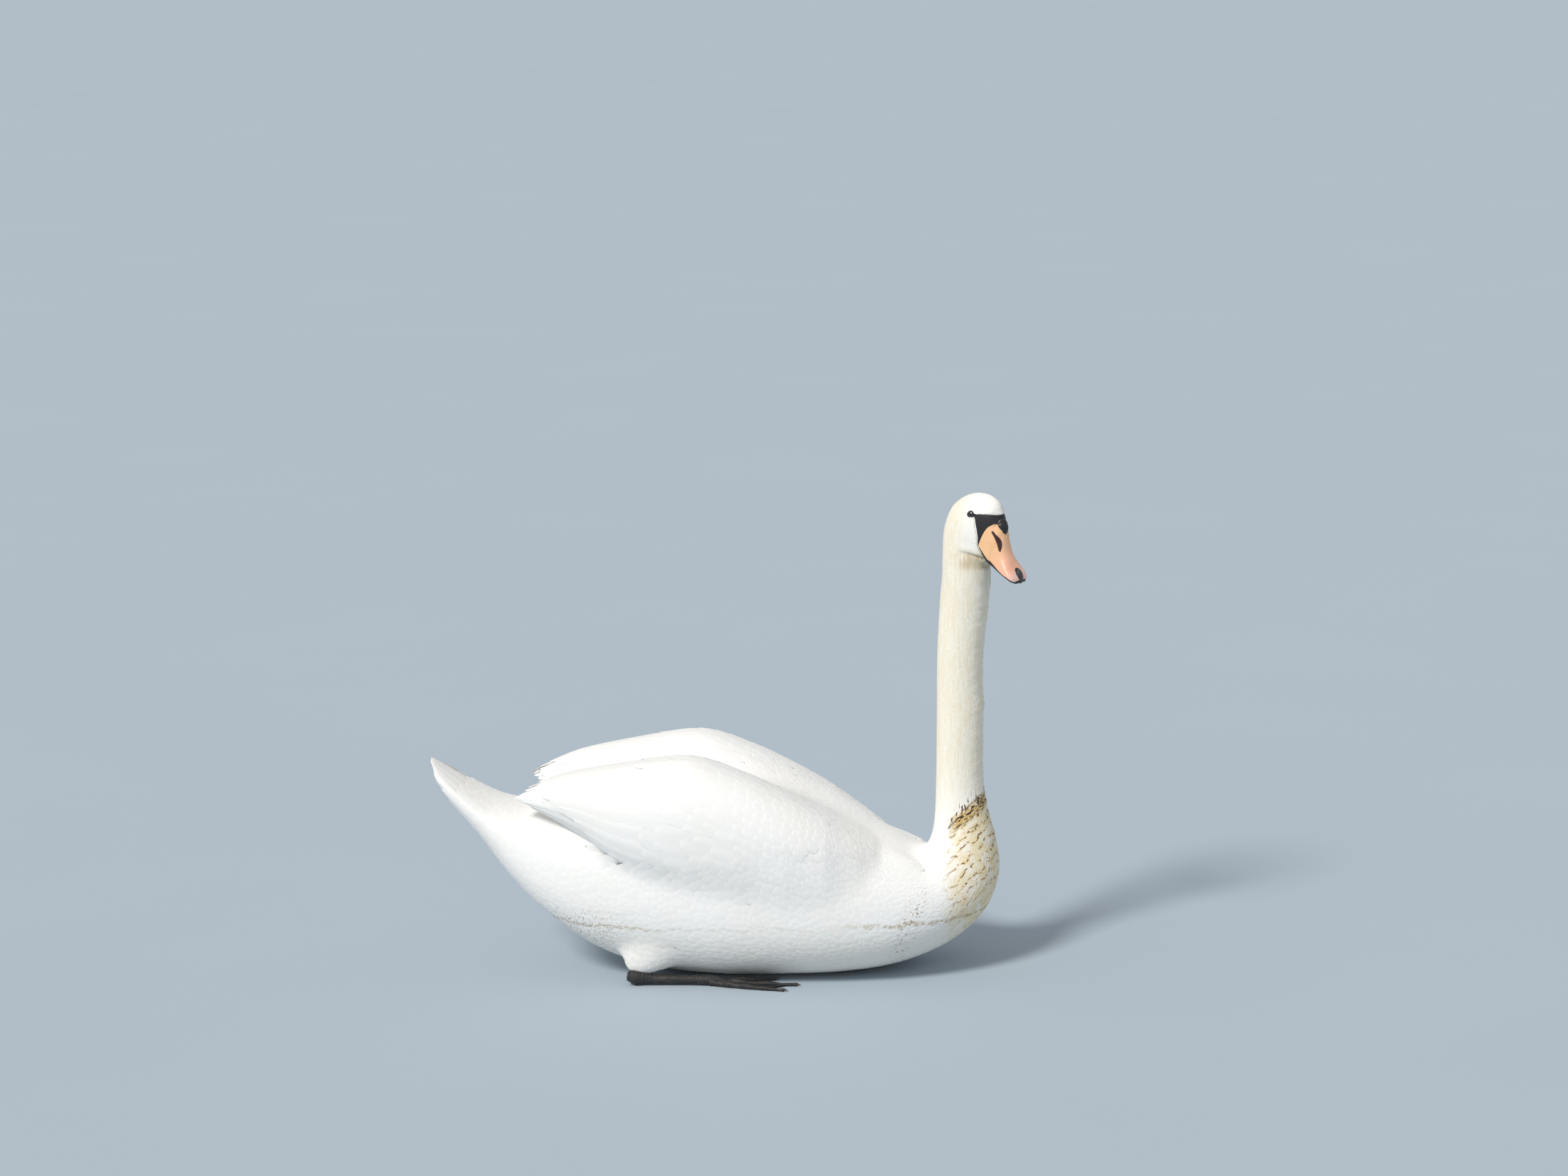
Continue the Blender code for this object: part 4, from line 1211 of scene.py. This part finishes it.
def lay_vanes(hide, form, u, v, length, width, grain, lift, ridge=0.0003, turn=0.0, bend=0.0,
              tile=0.0, ends=None):
    """Lay feathers on a hide and return their points.

    Each vane's own lengths along and across are turned into steps of u and v by how far such
    a step goes half way along it, so the vane keeps its size and follows the surface. Where
    ends are given, it runs from its root's row to that row instead. Its height runs from the
    skin at the root up to a share of the coat at the tip: lift holds the share where it levels
    out and the share at the tip, and tile raises one edge over the neighbour. In a crease,
    where the coat is deepest, the roots lie no deeper than DEEPEST.
    """
    a, b, h = form[:3]
    pace = read_grid(hide["along"], u, v, hide["span"])
    pace = read_grid(hide["along"], u + 0.5 * grain * length / pace, v, hide["span"])[:, None]
    turn = np.broadcast_to(turn, u.shape)[:, None]
    bend = np.broadcast_to(bend, u.shape)[:, None]
    length = np.broadcast_to(length, u.shape)[:, None]
    width = np.broadcast_to(width, u.shape)[:, None]
    forward = length * a * np.cos(turn) - width * b * np.sin(turn)
    sideways = length * a * np.sin(turn) + width * b * np.cos(turn) + length * bend * a ** 2
    at_u = u[:, None] + grain * forward / pace
    if ends is not None:
        at_u = u[:, None] + (ends - u)[:, None] * forward / length
    stride = read_grid(hide["across"], at_u, v[:, None] + 0 * at_u, hide["span"])
    stride = np.maximum(stride, LEAST_STRIDE)
    at_v = v[:, None] + sideways / stride
    low, high = (np.broadcast_to(value, u.shape)[:, None] for value in lift)
    rising = np.where(a < LEVEL_FROM, a / LEVEL_FROM * low,
                      low + (high - low) * (a - LEVEL_FROM) / (1 - LEVEL_FROM))
    over, outward, depth = (read_grid(hide[grid], at_u, at_v, hide["span"])
                            for grid in ("outline", "outward", "depth"))
    points = over + ((rising + tile * b - 1) * depth + ridge * h)[..., None] * outward
    points[..., 2] = np.maximum(points[..., 2], VANE_LEAST_Z)
    return placed(points)


def show_vanes(name, form, points, roots, look):
    """Join laid feathers into one piece, with a shade of its own and a bake patch for each."""
    count, size = points.shape[:2]
    faces = (form[3][None] + np.arange(count)[:, None, None] * size).reshape(-1, 3)
    mesh = mesh_of(name, points, faces)
    mesh.set_sharp_from_angle(angle=math.radians(75))
    mark(mesh, "tint", np.repeat(chance.uniform(0, 1, count), size))
    mark(mesh, "barb_along", np.tile(form[0], count))
    mark(mesh, "barb_across", np.tile(form[1], count))
    patch = np.stack([form[1] * 0.5, form[0] - 0.5], axis=-1) * PATCH_SIZE
    bake_map(mesh, (roots[:, None] + patch[None]).reshape(-1, 2))
    return piece(name, mesh, look)


def feather_look(name, barbs, length_over_width):
    """A feather material: the plumage's colours, with fine barbs slanting off the shaft."""
    look, tree, shader, colour = plumage_look(name)
    along = marked(tree, "barb_along")
    across = marked(tree, "barb_across")
    own = marked(tree, "tint")
    slope = times(tree, calc(tree, "ABSOLUTE", across), -0.8 / length_over_width)
    barb = plus(tree, along, slope)
    vector = node(tree, "CombineXYZ", {0: times(tree, barb, barbs), 1: across,
                                       2: times(tree, own, 40.0)}).outputs[0]
    lines = node(tree, "TexNoise", {"Vector": vector, "Scale": 1.0, "Detail": 2.0}).outputs[0]
    shade = times(tree, rise(tree, lines, 0.48, 0.75), 0.10)
    colour = tint(tree, shade, colour, BARB_SHADE)
    finish(tree, shader, colour, 0.62, Specular_IOR_Level=0.30, Sheen_Weight=0.12)
    bump(tree, shader, lines, 0.0003, 0.45)
    return look


contour_look = feather_look("contour_feathers", 22.0, 2.6)
CONTOUR = vane_form((0.10, 0.34, 0.60, 0.82, 0.95), (0.30, 0.78, 1.0, 0.88, 0.52),
                    (-1, -0.45, 0, 0.45, 1, 0), (-0.25, 0.55, 1, 0.55, -0.25, -0.4))

# Where the body's feathers stop: short of the wing, up to the rear of the flank; clear of the
# lores and the eye's middle; and ahead of MOUTH_X, off the heights where the mouth comes out.
WING_CLEAR = 0.0035
FLANK_ENDS = -0.225
LORE_CLEAR = 0.0002
EYE_CLEAR = 0.0060
MOUTH_X = 0.383
MOUTH_Z = (0.6195, 0.6345)
BY_LORE = 0.05
# Feathers are thinned where rows crowd to less than half their pace, but not by the lores.
THINNING = 2.0
LORE_FRINGE = 0.004
# Lengths and widths: shorter near bare skin, longer under the chin, never wide for their length.
SHORTEST = 0.40
LIDS_AT = 0.0057
FULL_LENGTH_AT = 0.010
THROAT_LONGER = 0.9
WIDEST = 0.35
# How unevenly the tips stand, and how much higher they lie over a wing.
UNEVEN = 0.03
OVER_WING = 0.06
# Behind these places, a feather stretched or set on so steep a crease is left out.
STRETCHED = 1.12
STRETCHED_BEHIND = -0.10
STEEPEST = 1.5
STEEP_BEHIND = 0.150


def behind_shoulder(angle):
    """Where along the bird the body's feathers give way to the wing's, by the angle round it.

    Angles run round the wing's upright section, from 0 on top over the outer side. Ahead of
    this place the wing is under the body's feathers.
    """
    return np.interp(np.degrees(angle) % 360,
                     (0, 20, 60, 85, 105, 125, 150, 240, 268, 285, 300, 340, 360),
                     (0.060, 0.110, 0.120, 0.085, 0.010, -0.125, -0.240, -0.240, -0.200,
                      -0.040, -0.020, 0.000, 0.060))


def coat_piece(name, start, end, form, look, longer, wider, lift=(0.80, 0.98), ruffle=0.0):
    """Lay one length of the coat, leaving out what the wings, the lores or the eyes take up.

    Where rows crowd together in a crease, feathers are thinned by chance. They shorten towards
    the lores and the eyes, and lengthen under the chin. Behind, those that the crease beside
    the wing would stretch or tip over are left out.
    """
    u, v, step = rows_of_roots(start, end)
    root = read_grid(body_hide["outline"], u, v, ROW["face"])
    pace = read_grid(body_hide["along"], u, v, ROW["face"]) / np.interp(u, full_rows, row_pace)
    straight = turned(root, way=1)
    mirrored = np.stack([straight[:, 0], np.abs(straight[:, 1]), straight[:, 2]], axis=-1)
    eye = np.linalg.norm(mirrored - EYE_AT, axis=-1)
    off_wing, angle = to_wing(root, 0, 0)
    lore = np.where(u > ROW["nape"], to_lore(root), 1)
    keep = (off_wing > WING_CLEAR) | (root[:, 0] > behind_shoulder(angle))
    keep |= root[:, 0] < FLANK_ENDS
    keep &= (lore > LORE_CLEAR) & (eye > EYE_CLEAR)
    keep &= (chance.uniform(0, 1, len(u)) < THINNING * pace) | (lore < LORE_FRINGE)
    above_mouth = (lore < BY_LORE) & (straight[:, 2] > MOUTH_Z[1])
    keep &= ((straight[:, 0] < MOUTH_X) | (u < ROW["nape"]) | above_mouth
             | (straight[:, 2] < MOUTH_Z[0]))
    u, v, step, lore, eye, root, off_wing = (
        values[keep] for values in (u, v, step, lore, eye, root, off_wing))
    from_bare = np.minimum(lore, eye - LIDS_AT)
    shorter = np.clip(SHORTEST + from_bare / FULL_LENGTH_AT, SHORTEST, 1)
    length = longer * along_rows(EXPOSED, u) * chance.uniform(0.88, 1.15, len(u)) * shorter
    throat = smooth_step(u, ROW["neck_4"], ROW["neck_top"])
    throat = throat * (1 - smooth_step(u, ROW["occiput"], ROW["crown"]))
    length = length * (1 + THROAT_LONGER * throat * np.clip(-np.cos(v), 0, 1))
    stride = read_grid(body_hide["across"], u, v, ROW["face"])
    width = np.minimum(wider * 0.5 * step * stride, WIDEST * length)
    turn = chance.normal(0, 0.09, len(u))
    raised = chance.uniform(-UNEVEN, UNEVEN, len(u))
    raised += ruffle * np.clip(-np.cos(v), 0, 1) ** 2 * chance.uniform(0, 1, len(u)) ** 2
    raised += OVER_WING * (off_wing < WING_CLEAR)
    points = lay_vanes(body_hide, form, u, v, length, width, DOWN_ROWS,
                       (lift[0] + 0 * u, lift[1] + raised),
                       turn=turn, bend=chance.normal(0, 0.05, len(u)))
    reach = np.linalg.norm(points[:, -1] - points[:, 0], axis=-1) / length
    steep = stride > STEEPEST * np.interp(u, full_rows, girth_pace)
    even = (reach < STRETCHED) | (root[:, 0] > STRETCHED_BEHIND)
    even &= ~steep | (off_wing > WING_CLEAR) | (root[:, 0] > STEEP_BEHIND)
    made = show_vanes(name, form, points[even], body_unwrap(u[even], v[even]), look)
    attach(made, "root")
    return made


COAT_ENDS = 2.6
COATS_MEET = 8.6
rear_coat = coat_piece("coat_rump_and_belly", COAT_ENDS, COATS_MEET, CONTOUR, contour_look,
                       longer=2.7, wider=1.9)
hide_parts("tail", "trunk")
front_coat = coat_piece("coat_back_and_flanks", COATS_MEET, ROW["breast"], CONTOUR, contour_look,
                        longer=2.7, wider=1.9)
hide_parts("trunk")

# --- Coat of the breast and neck --------------------------------------------------------
# The feathers shorten and narrow up the breast and neck to fine close tufts, soft at the
# tips. They stand a little ruffled down the front of the neck.
BREAST = vane_form((0.12, 0.42, 0.72, 0.93), (0.38, 0.90, 1.0, 0.55), (-1, -0.4, 0.4, 1),
                   (-0.2, 0.8, 0.8, -0.2))
TUFT = vane_form((0.10, 0.48, 0.82), (0.55, 1.0, 0.60), (-1, 0, 1), (-0.3, 1.0, -0.3))
breast_look = feather_look("breast_feathers", 14.0, 2.6)
neck_look = feather_look("neck_feathers", 9.0, 3.2)
breast_coat = coat_piece("coat_breast", ROW["breast"], ROW["neck_foot"], BREAST, breast_look,
                         longer=2.8, wider=1.7, lift=(0.78, 0.98))
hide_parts("trunk")
for label, start, end in (("lower", "neck_foot", "neck_2"), ("upper", "neck_2", "neck_top")):
    neck_coat = coat_piece("coat_neck_" + label, ROW[start], ROW[end], TUFT, neck_look,
                           longer=3.8, wider=1.75, ruffle=0.16)
    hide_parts("neck")

# --- Coat of the head -------------------------------------------------------------------
# The head is covered in the shortest feathers, a dense velvet that sweeps back from the bill
# round the eyes. The lores and the rims of the eyes stay bare.
for label, start, end in (("rear", "neck_top", "crown_rear"), ("front", "crown_rear", "face")):
    head_coat = coat_piece("coat_head_" + label, ROW[start], ROW[end], TUFT, neck_look,
                           longer=3.8, wider=1.70, lift=(0.62, 0.98))
    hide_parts("head")

# --- Wings ------------------------------------------------------------------------------
# Each folded wing carries its coverts in rows from the shoulder back, each tier longer than
# the last, then the long secondaries, and behind them the rounded tips of the primaries,
# which are stacked in layers. All are vanes laid on the wing's own surface.
WING_GRID_ROWS = 25
wing_last = len(WING) - 1
wing_rows = np.linspace(0, wing_last, wing_last * WING_GRID_ROWS + 1)
wing_x = read_table(WING, wing_rows)[:, 0]
COVERT = vane_form((0.08, 0.26, 0.48, 0.70, 0.87, 0.96), (0.30, 0.72, 0.96, 1.0, 0.80, 0.46),
                   (-1, -0.5, -0.07, 0.07, 0.5, 1, 0), (-0.4, 0.35, 1, 1, 0.35, -0.4, -0.5))
QUILL = vane_form((0.03, 0.10, 0.20, 0.32, 0.44, 0.56, 0.67, 0.77, 0.85, 0.91, 0.955, 0.985),
                  (0.20, 0.55, 0.80, 0.92, 0.98, 1.0, 1.0, 0.97, 0.88, 0.72, 0.50, 0.26),
                  (-1, -0.66, -0.33, -0.06, 0.06, 0.33, 0.66, 1, 0),
                  (-0.9, -0.2, 0.3, 1, 1, 0.3, -0.2, -0.9, -0.8))
BLUNT = vane_form((0.03, 0.15, 0.35, 0.55, 0.70, 0.81, 0.89, 0.945, 0.98),
                  (0.30, 0.60, 0.85, 1.0, 0.98, 0.86, 0.66, 0.44, 0.22),
                  (-1, -0.5, -0.08, 0.08, 0.5, 1, 0), (-0.7, 0.1, 1, 1, 0.1, -0.7, -0.8))


def row_at(x):
    """The wing's row number at a place along the bird."""
    return np.interp(-np.asarray(x, float), -wing_x, wing_rows)


def wing_unwrap(w, angle, side):
    """The wing's own unwrap: each side has its half, round by the angle and along by the row."""
    return np.stack([0.01 + 0.48 * (angle / (2 * np.pi) % 1) + (0.25 + 0.25 * side),
                     0.01 + 0.98 * w / wing_last], axis=-1)


# Tiers of coverts: the x where each starts and ends, exposed length, spacing, whole length.
TIERS = ((0.203, 0.110, 0.0100, 0.0100, 0.026), (0.110, 0.035, 0.0135, 0.0135, 0.038),
         (0.035, -0.020, 0.0200, 0.0170, 0.060), (-0.020, -0.075, 0.0300, 0.0200, 0.085))
VISIBLE = (math.radians(-95), math.radians(150))
COVERTS_OVERLAP_BODY = 0.030
COVERT_SLIMMER = 0.88
COVERT_RIDGE = 0.00035
FEWEST = 6
# The secondaries: how many there are, the angles of the first and the last round the wing,
# their half width, and how far their hidden roots lie ahead of their tips.
SECONDARY_COUNT = 18
SECONDARY_ANGLES = (142, -84)
SECONDARY_WIDTH = 0.021
SECONDARY_LENGTH = 0.215
PRIMARY_WIDTH = 0.0135
PRIMARY_LENGTH = 0.17
RIDGE = 0.0006
# Layers of primaries: how far inward, and each quill's angle, the x of its tip and its height.
PRIMARIES = (
    (0.0, ((118, -0.292, 0.50), (98, -0.310, 0.58), (72, -0.322, 0.66), (44, -0.314, 0.74),
           (12, -0.306, 0.80), (-24, -0.304, 0.86), (-58, -0.304, 0.90), (-90, -0.306, 0.70),
           (-122, -0.306, 0.60), (-154, -0.304, 0.50), (174, -0.302, 0.50), (146, -0.298, 0.45))),
    (0.45, ((95, -0.308, 0.8), (50, -0.313, 0.8), (0, -0.312, 0.8), (-50, -0.309, 0.8),
            (-95, -0.306, 0.8), (-140, -0.304, 0.8), (180, -0.306, 0.8), (135, -0.303, 0.8))),
    (0.80, ((90, -0.312, 0.8), (20, -0.316, 0.8), (-40, -0.313, 0.8), (180, -0.309, 0.8))),
)
covert_look = feather_look("coverts", 40.0, 3.2)
quill_look = feather_look("quills", 160.0, 8.0)


def covert_roots(hide):
    """Places, lengths and widths of the coverts of one wing.

    Rows stand one exposed length apart, staggered like tiles, over the part of the girth that
    shows. Those that would lie under the body's feathers are left out.
    """
    girths = hide["across"].mean(axis=1)
    seen = VISIBLE[1] - VISIBLE[0]
    groups = []
    for start, end, exposed, spaced, whole in TIERS:
        for number, x in enumerate(np.arange(start, end, -exposed)):
            here = row_at(x)
            girth = np.interp(here, wing_rows, girths) * 2 * np.pi
            count = max(FEWEST, int(girth / spaced * seen / (2 * np.pi)))
            place = np.arange(count) + 0.5 * (number % 2) + chance.uniform(-0.15, 0.15, count)
            angles = VISIBLE[0] + place / count * seen
            groups.append(np.stack([here + 0 * angles, angles, 0 * angles + whole,
                                    0 * angles + spaced * COVERT_SLIMMER], axis=-1))
    w, angle, length, width = np.vstack(groups).T
    covered_to = behind_shoulder(angle) + COVERTS_OVERLAP_BODY
    showing = np.interp(w, wing_rows, wing_x) < covered_to
    w, angle, length, width = (values[showing] for values in (w, angle, length, width))
    pace = read_grid(hide["along"], w, angle, wing_last)
    shift = chance.uniform(-0.2, 0.2, len(w)) * length * 0.3 / pace
    return np.clip(w + shift, 0, wing_last), angle, length, width


def lay_coverts(hide):
    """Lay the coverts of one wing, and return their points, rows and angles."""
    w, angle, length, width = covert_roots(hide)
    length = length * chance.uniform(0.92, 1.1, len(w))
    lift = (0.76, 0.96 + chance.uniform(0, 0.04, len(w)))
    points = lay_vanes(hide, COVERT, w, angle, length, width, UP_ROWS, lift,
                       ridge=COVERT_RIDGE, turn=chance.normal(0, 0.05, len(w)), tile=0.03)
    return points, w, angle


def lay_secondaries(hide):
    """Lay the long secondaries side by side, each lapping over the one below it."""
    angles = np.linspace(*np.radians(SECONDARY_ANGLES), SECONDARY_COUNT)
    tips = np.interp(np.degrees(angles), (-84, -40, 20, 60, 100, 142),
                     (-0.235, -0.268, -0.290, -0.276, -0.236, -0.160))
    tips = tips + chance.uniform(-0.006, 0.006, SECONDARY_COUNT)
    starts = row_at(np.minimum(tips + SECONDARY_LENGTH, 0.02))
    order = np.linspace(0.82, 1.0, SECONDARY_COUNT)
    points = lay_vanes(hide, QUILL, starts, angles, 0.2, SECONDARY_WIDTH, UP_ROWS,
                       (0.70 + 0 * order, order), ridge=RIDGE, tile=0.10, ends=row_at(tips))
    return points, starts, angles


def lay_primaries(w, angle, side):
    """Lay the primaries: narrower quills with rounded tips, which show behind the rest.

    Inside the outer layer lie two more, each on a hide drawn in by a share of the half height.
    """
    laid = []
    for inward, quills in PRIMARIES:
        angles, tips, heights = np.array(quills).T
        angles, sunk = np.radians(angles), inward * read_table(WING, w)[..., 4]
        layer = wing_hide(w, angle, side, sunk)
        starts = row_at(tips + PRIMARY_LENGTH)
        points = lay_vanes(layer, BLUNT, starts, angles, PRIMARY_LENGTH, PRIMARY_WIDTH, UP_ROWS,
                           (0.10, heights), ridge=RIDGE, ends=row_at(tips))
        laid.append((points, starts, angles))
    points, starts, angles = (np.concatenate(values) for values in zip(*laid))
    return points, starts, angles


def wing_hide(w, angle, side, sunk):
    """The hide of a wing, drawn in by sunk."""
    return make_hide(wing_surface(w, angle, side, OUTLINE_INSET + sunk),
                     wing_surface(w, angle, side, WING_DEPTH + sunk), wing_last)


for label, side in (("left", 1), ("right", -1)):
    w, angle = met_grid(wing_rows, HIDE_ROUND)
    hide = wing_hide(w, angle, side, 0 * w)
    points, rows, angles = lay_coverts(hide)
    coverts = show_vanes("coverts_" + label, COVERT, points, wing_unwrap(rows, angles, side),
                         covert_look)
    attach(coverts, "root")
    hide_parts("wing_" + label)

    points, rows, angles = lay_secondaries(hide)
    secondaries = show_vanes("secondaries_" + label, QUILL, points,
                             wing_unwrap(rows, angles, side), quill_look)
    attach(secondaries, "root")
    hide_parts("wing_" + label)

    points, rows, angles = lay_primaries(w, angle, side)
    primaries = show_vanes("quills_" + label, BLUNT, points, wing_unwrap(rows, angles, side),
                           quill_look)
    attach(primaries, "root")
    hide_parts("primaries_" + label)

# --- Tail -------------------------------------------------------------------------------
# The tail feathers lie folded like a roof: the middle pair is highest and longest, and each
# pair outside it is lower and shorter, so that their tips step down the rear edge. More
# pairs are stacked under the roof, so that the tail is full when seen from behind.
QUILL_ROWS = 4.0
TAIL_LENGTH = 0.17
# Each pair: the angle round the tail, the row of its tip, its half width and its height.
PAIRS = np.array([(11, 0.00, 0.0150, 1.00), (34, 0.05, 0.0145, 0.85), (57, 0.24, 0.0125, 0.50),
                  (97, 0.60, 0.0150, 1.20), (113, 1.22, 0.0165, 1.30), (131, 1.60, 0.0170, 1.20),
                  (151, 1.66, 0.0180, 0.85), (171, 1.70, 0.0180, 0.75),
                  (24, 0.30, 0.0145, 0.25), (48, 0.45, 0.0140, 0.0), (78, 0.66, 0.0150, -0.2),
                  (103, 0.84, 0.0155, -0.3), (124, 0.98, 0.0160, -0.3), (146, 1.08, 0.0170, -0.3),
                  (168, 1.12, 0.0170, -0.3), (62, 0.70, 0.0160, -0.7), (98, 0.90, 0.0160, -0.9),
                  (136, 1.16, 0.0160, -1.0), (170, 1.22, 0.0160, -1.0), (30, 0.62, 0.0150, -0.5),
                  (75, 0.85, 0.0160, -1.4), (165, 1.05, 0.0160, -1.6)])
away, tips, widths, heights = np.concatenate([PAIRS, PAIRS * (-1, 1, 1, 1)]).T
tips = tips + chance.uniform(-0.02, 0.02, len(tips))
angles = np.radians(away)
points = lay_vanes(body_hide, BLUNT, tips + QUILL_ROWS, angles, TAIL_LENGTH, widths, DOWN_ROWS,
                   (0.2, heights), ridge=RIDGE, ends=tips)
rectrices = show_vanes("tail_feathers", BLUNT, points, body_unwrap(tips + QUILL_ROWS, angles),
                       quill_look)
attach(rectrices, "root")
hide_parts("tail")

# --- Floor, light and camera ------------------------------------------------------------
# The model stands on a plain pale floor under one large soft lamp and an even sky. The camera
# looks from the bird's right side, a little from the front and above.
FLOOR_DARK, FLOOR_LIGHT = (0.420, 0.490, 0.555, 1), (0.440, 0.510, 0.575, 1)
floor_look, tree, shader = new_look("floor")
cloud = noise(tree, place_in(tree), 1.5)
finish(tree, shader, tint(tree, cloud, FLOOR_DARK, FLOOR_LIGHT), 0.85, Specular_IOR_Level=0.1)
FLOOR_HALF = 150.0
corner = np.array([(-1, -1, 0), (1, -1, 0), (1, 1, 0), (-1, 1, 0)]) * FLOOR_HALF - (0, 0, 0.0001)
floor = piece("floor", mesh_of("floor", corner, np.array([(0, 1, 2, 3)])), floor_look)


def stood(right, up, back, place=(0, 0, 0)):
    """The placing of a lamp or camera whose own X, Y and Z point right, up and back."""
    return Matrix([[right[i], up[i], back[i], place[i]] for i in range(3)] + [[0, 0, 0, 1]])


lamp = bpy.data.lights.new("lamp", "SUN")
lamp.energy = 2.5
lamp.angle = math.radians(14)
lamp.color = (1.0, 0.97, 0.92)
LAMP_FROM = np.array([-0.50, -0.72, 0.86])
LAMP_FROM = LAMP_FROM / np.linalg.norm(LAMP_FROM)
level = np.cross((0, 0, 1.0), LAMP_FROM)
level = level / np.linalg.norm(level)
key = bpy.data.objects.new("lamp", lamp)
key.matrix_world = stood(level, np.cross(LAMP_FROM, level), LAMP_FROM)
bpy.context.scene.collection.objects.link(key)

sky = bpy.data.worlds.new("sky")
sky.use_nodes = True
sky.node_tree.nodes["Background"].inputs[0].default_value = (0.93, 0.96, 1.0, 1)
sky.node_tree.nodes["Background"].inputs[1].default_value = 0.50
bpy.context.scene.world = sky
bpy.context.scene.view_settings.view_transform = "Standard"

CAMERA_SIDE = math.radians(5.5)
CAMERA_DOWN = math.radians(11.157)
CAMERA_ROLL = math.radians(1.6)
CAMERA_DISTANCE = 5.49
AIM = np.array([FORWARD, 0, 0.095])
AIM_LEFT = math.radians(0.647)
AIM_BELOW = math.radians(4.843)
level_ahead = np.array([-math.sin(CAMERA_SIDE), math.cos(CAMERA_SIDE), 0])
level_right = np.array([math.cos(CAMERA_SIDE), math.sin(CAMERA_SIDE), 0])
ahead = level_ahead * math.cos(CAMERA_DOWN) - np.array([0, 0, math.sin(CAMERA_DOWN)])
overhead = level_ahead * math.sin(CAMERA_DOWN) + np.array([0, 0, math.cos(CAMERA_DOWN)])
right = level_right * math.cos(CAMERA_ROLL) - overhead * math.sin(CAMERA_ROLL)
upward = level_right * math.sin(CAMERA_ROLL) + overhead * math.cos(CAMERA_ROLL)
back = np.cross(right, upward)
sight = ahead - right * math.tan(AIM_LEFT) - upward * math.tan(AIM_BELOW)
stand = AIM - sight / np.linalg.norm(sight) * CAMERA_DISTANCE
lens = bpy.data.cameras.new("camera")
lens.lens = 85
lens.sensor_width = 36
lens.clip_end = 500
camera = bpy.data.objects.new("camera", lens)
camera.matrix_world = stood(right, upward, back, stand)
bpy.context.scene.collection.objects.link(camera)
bpy.context.scene.camera = camera
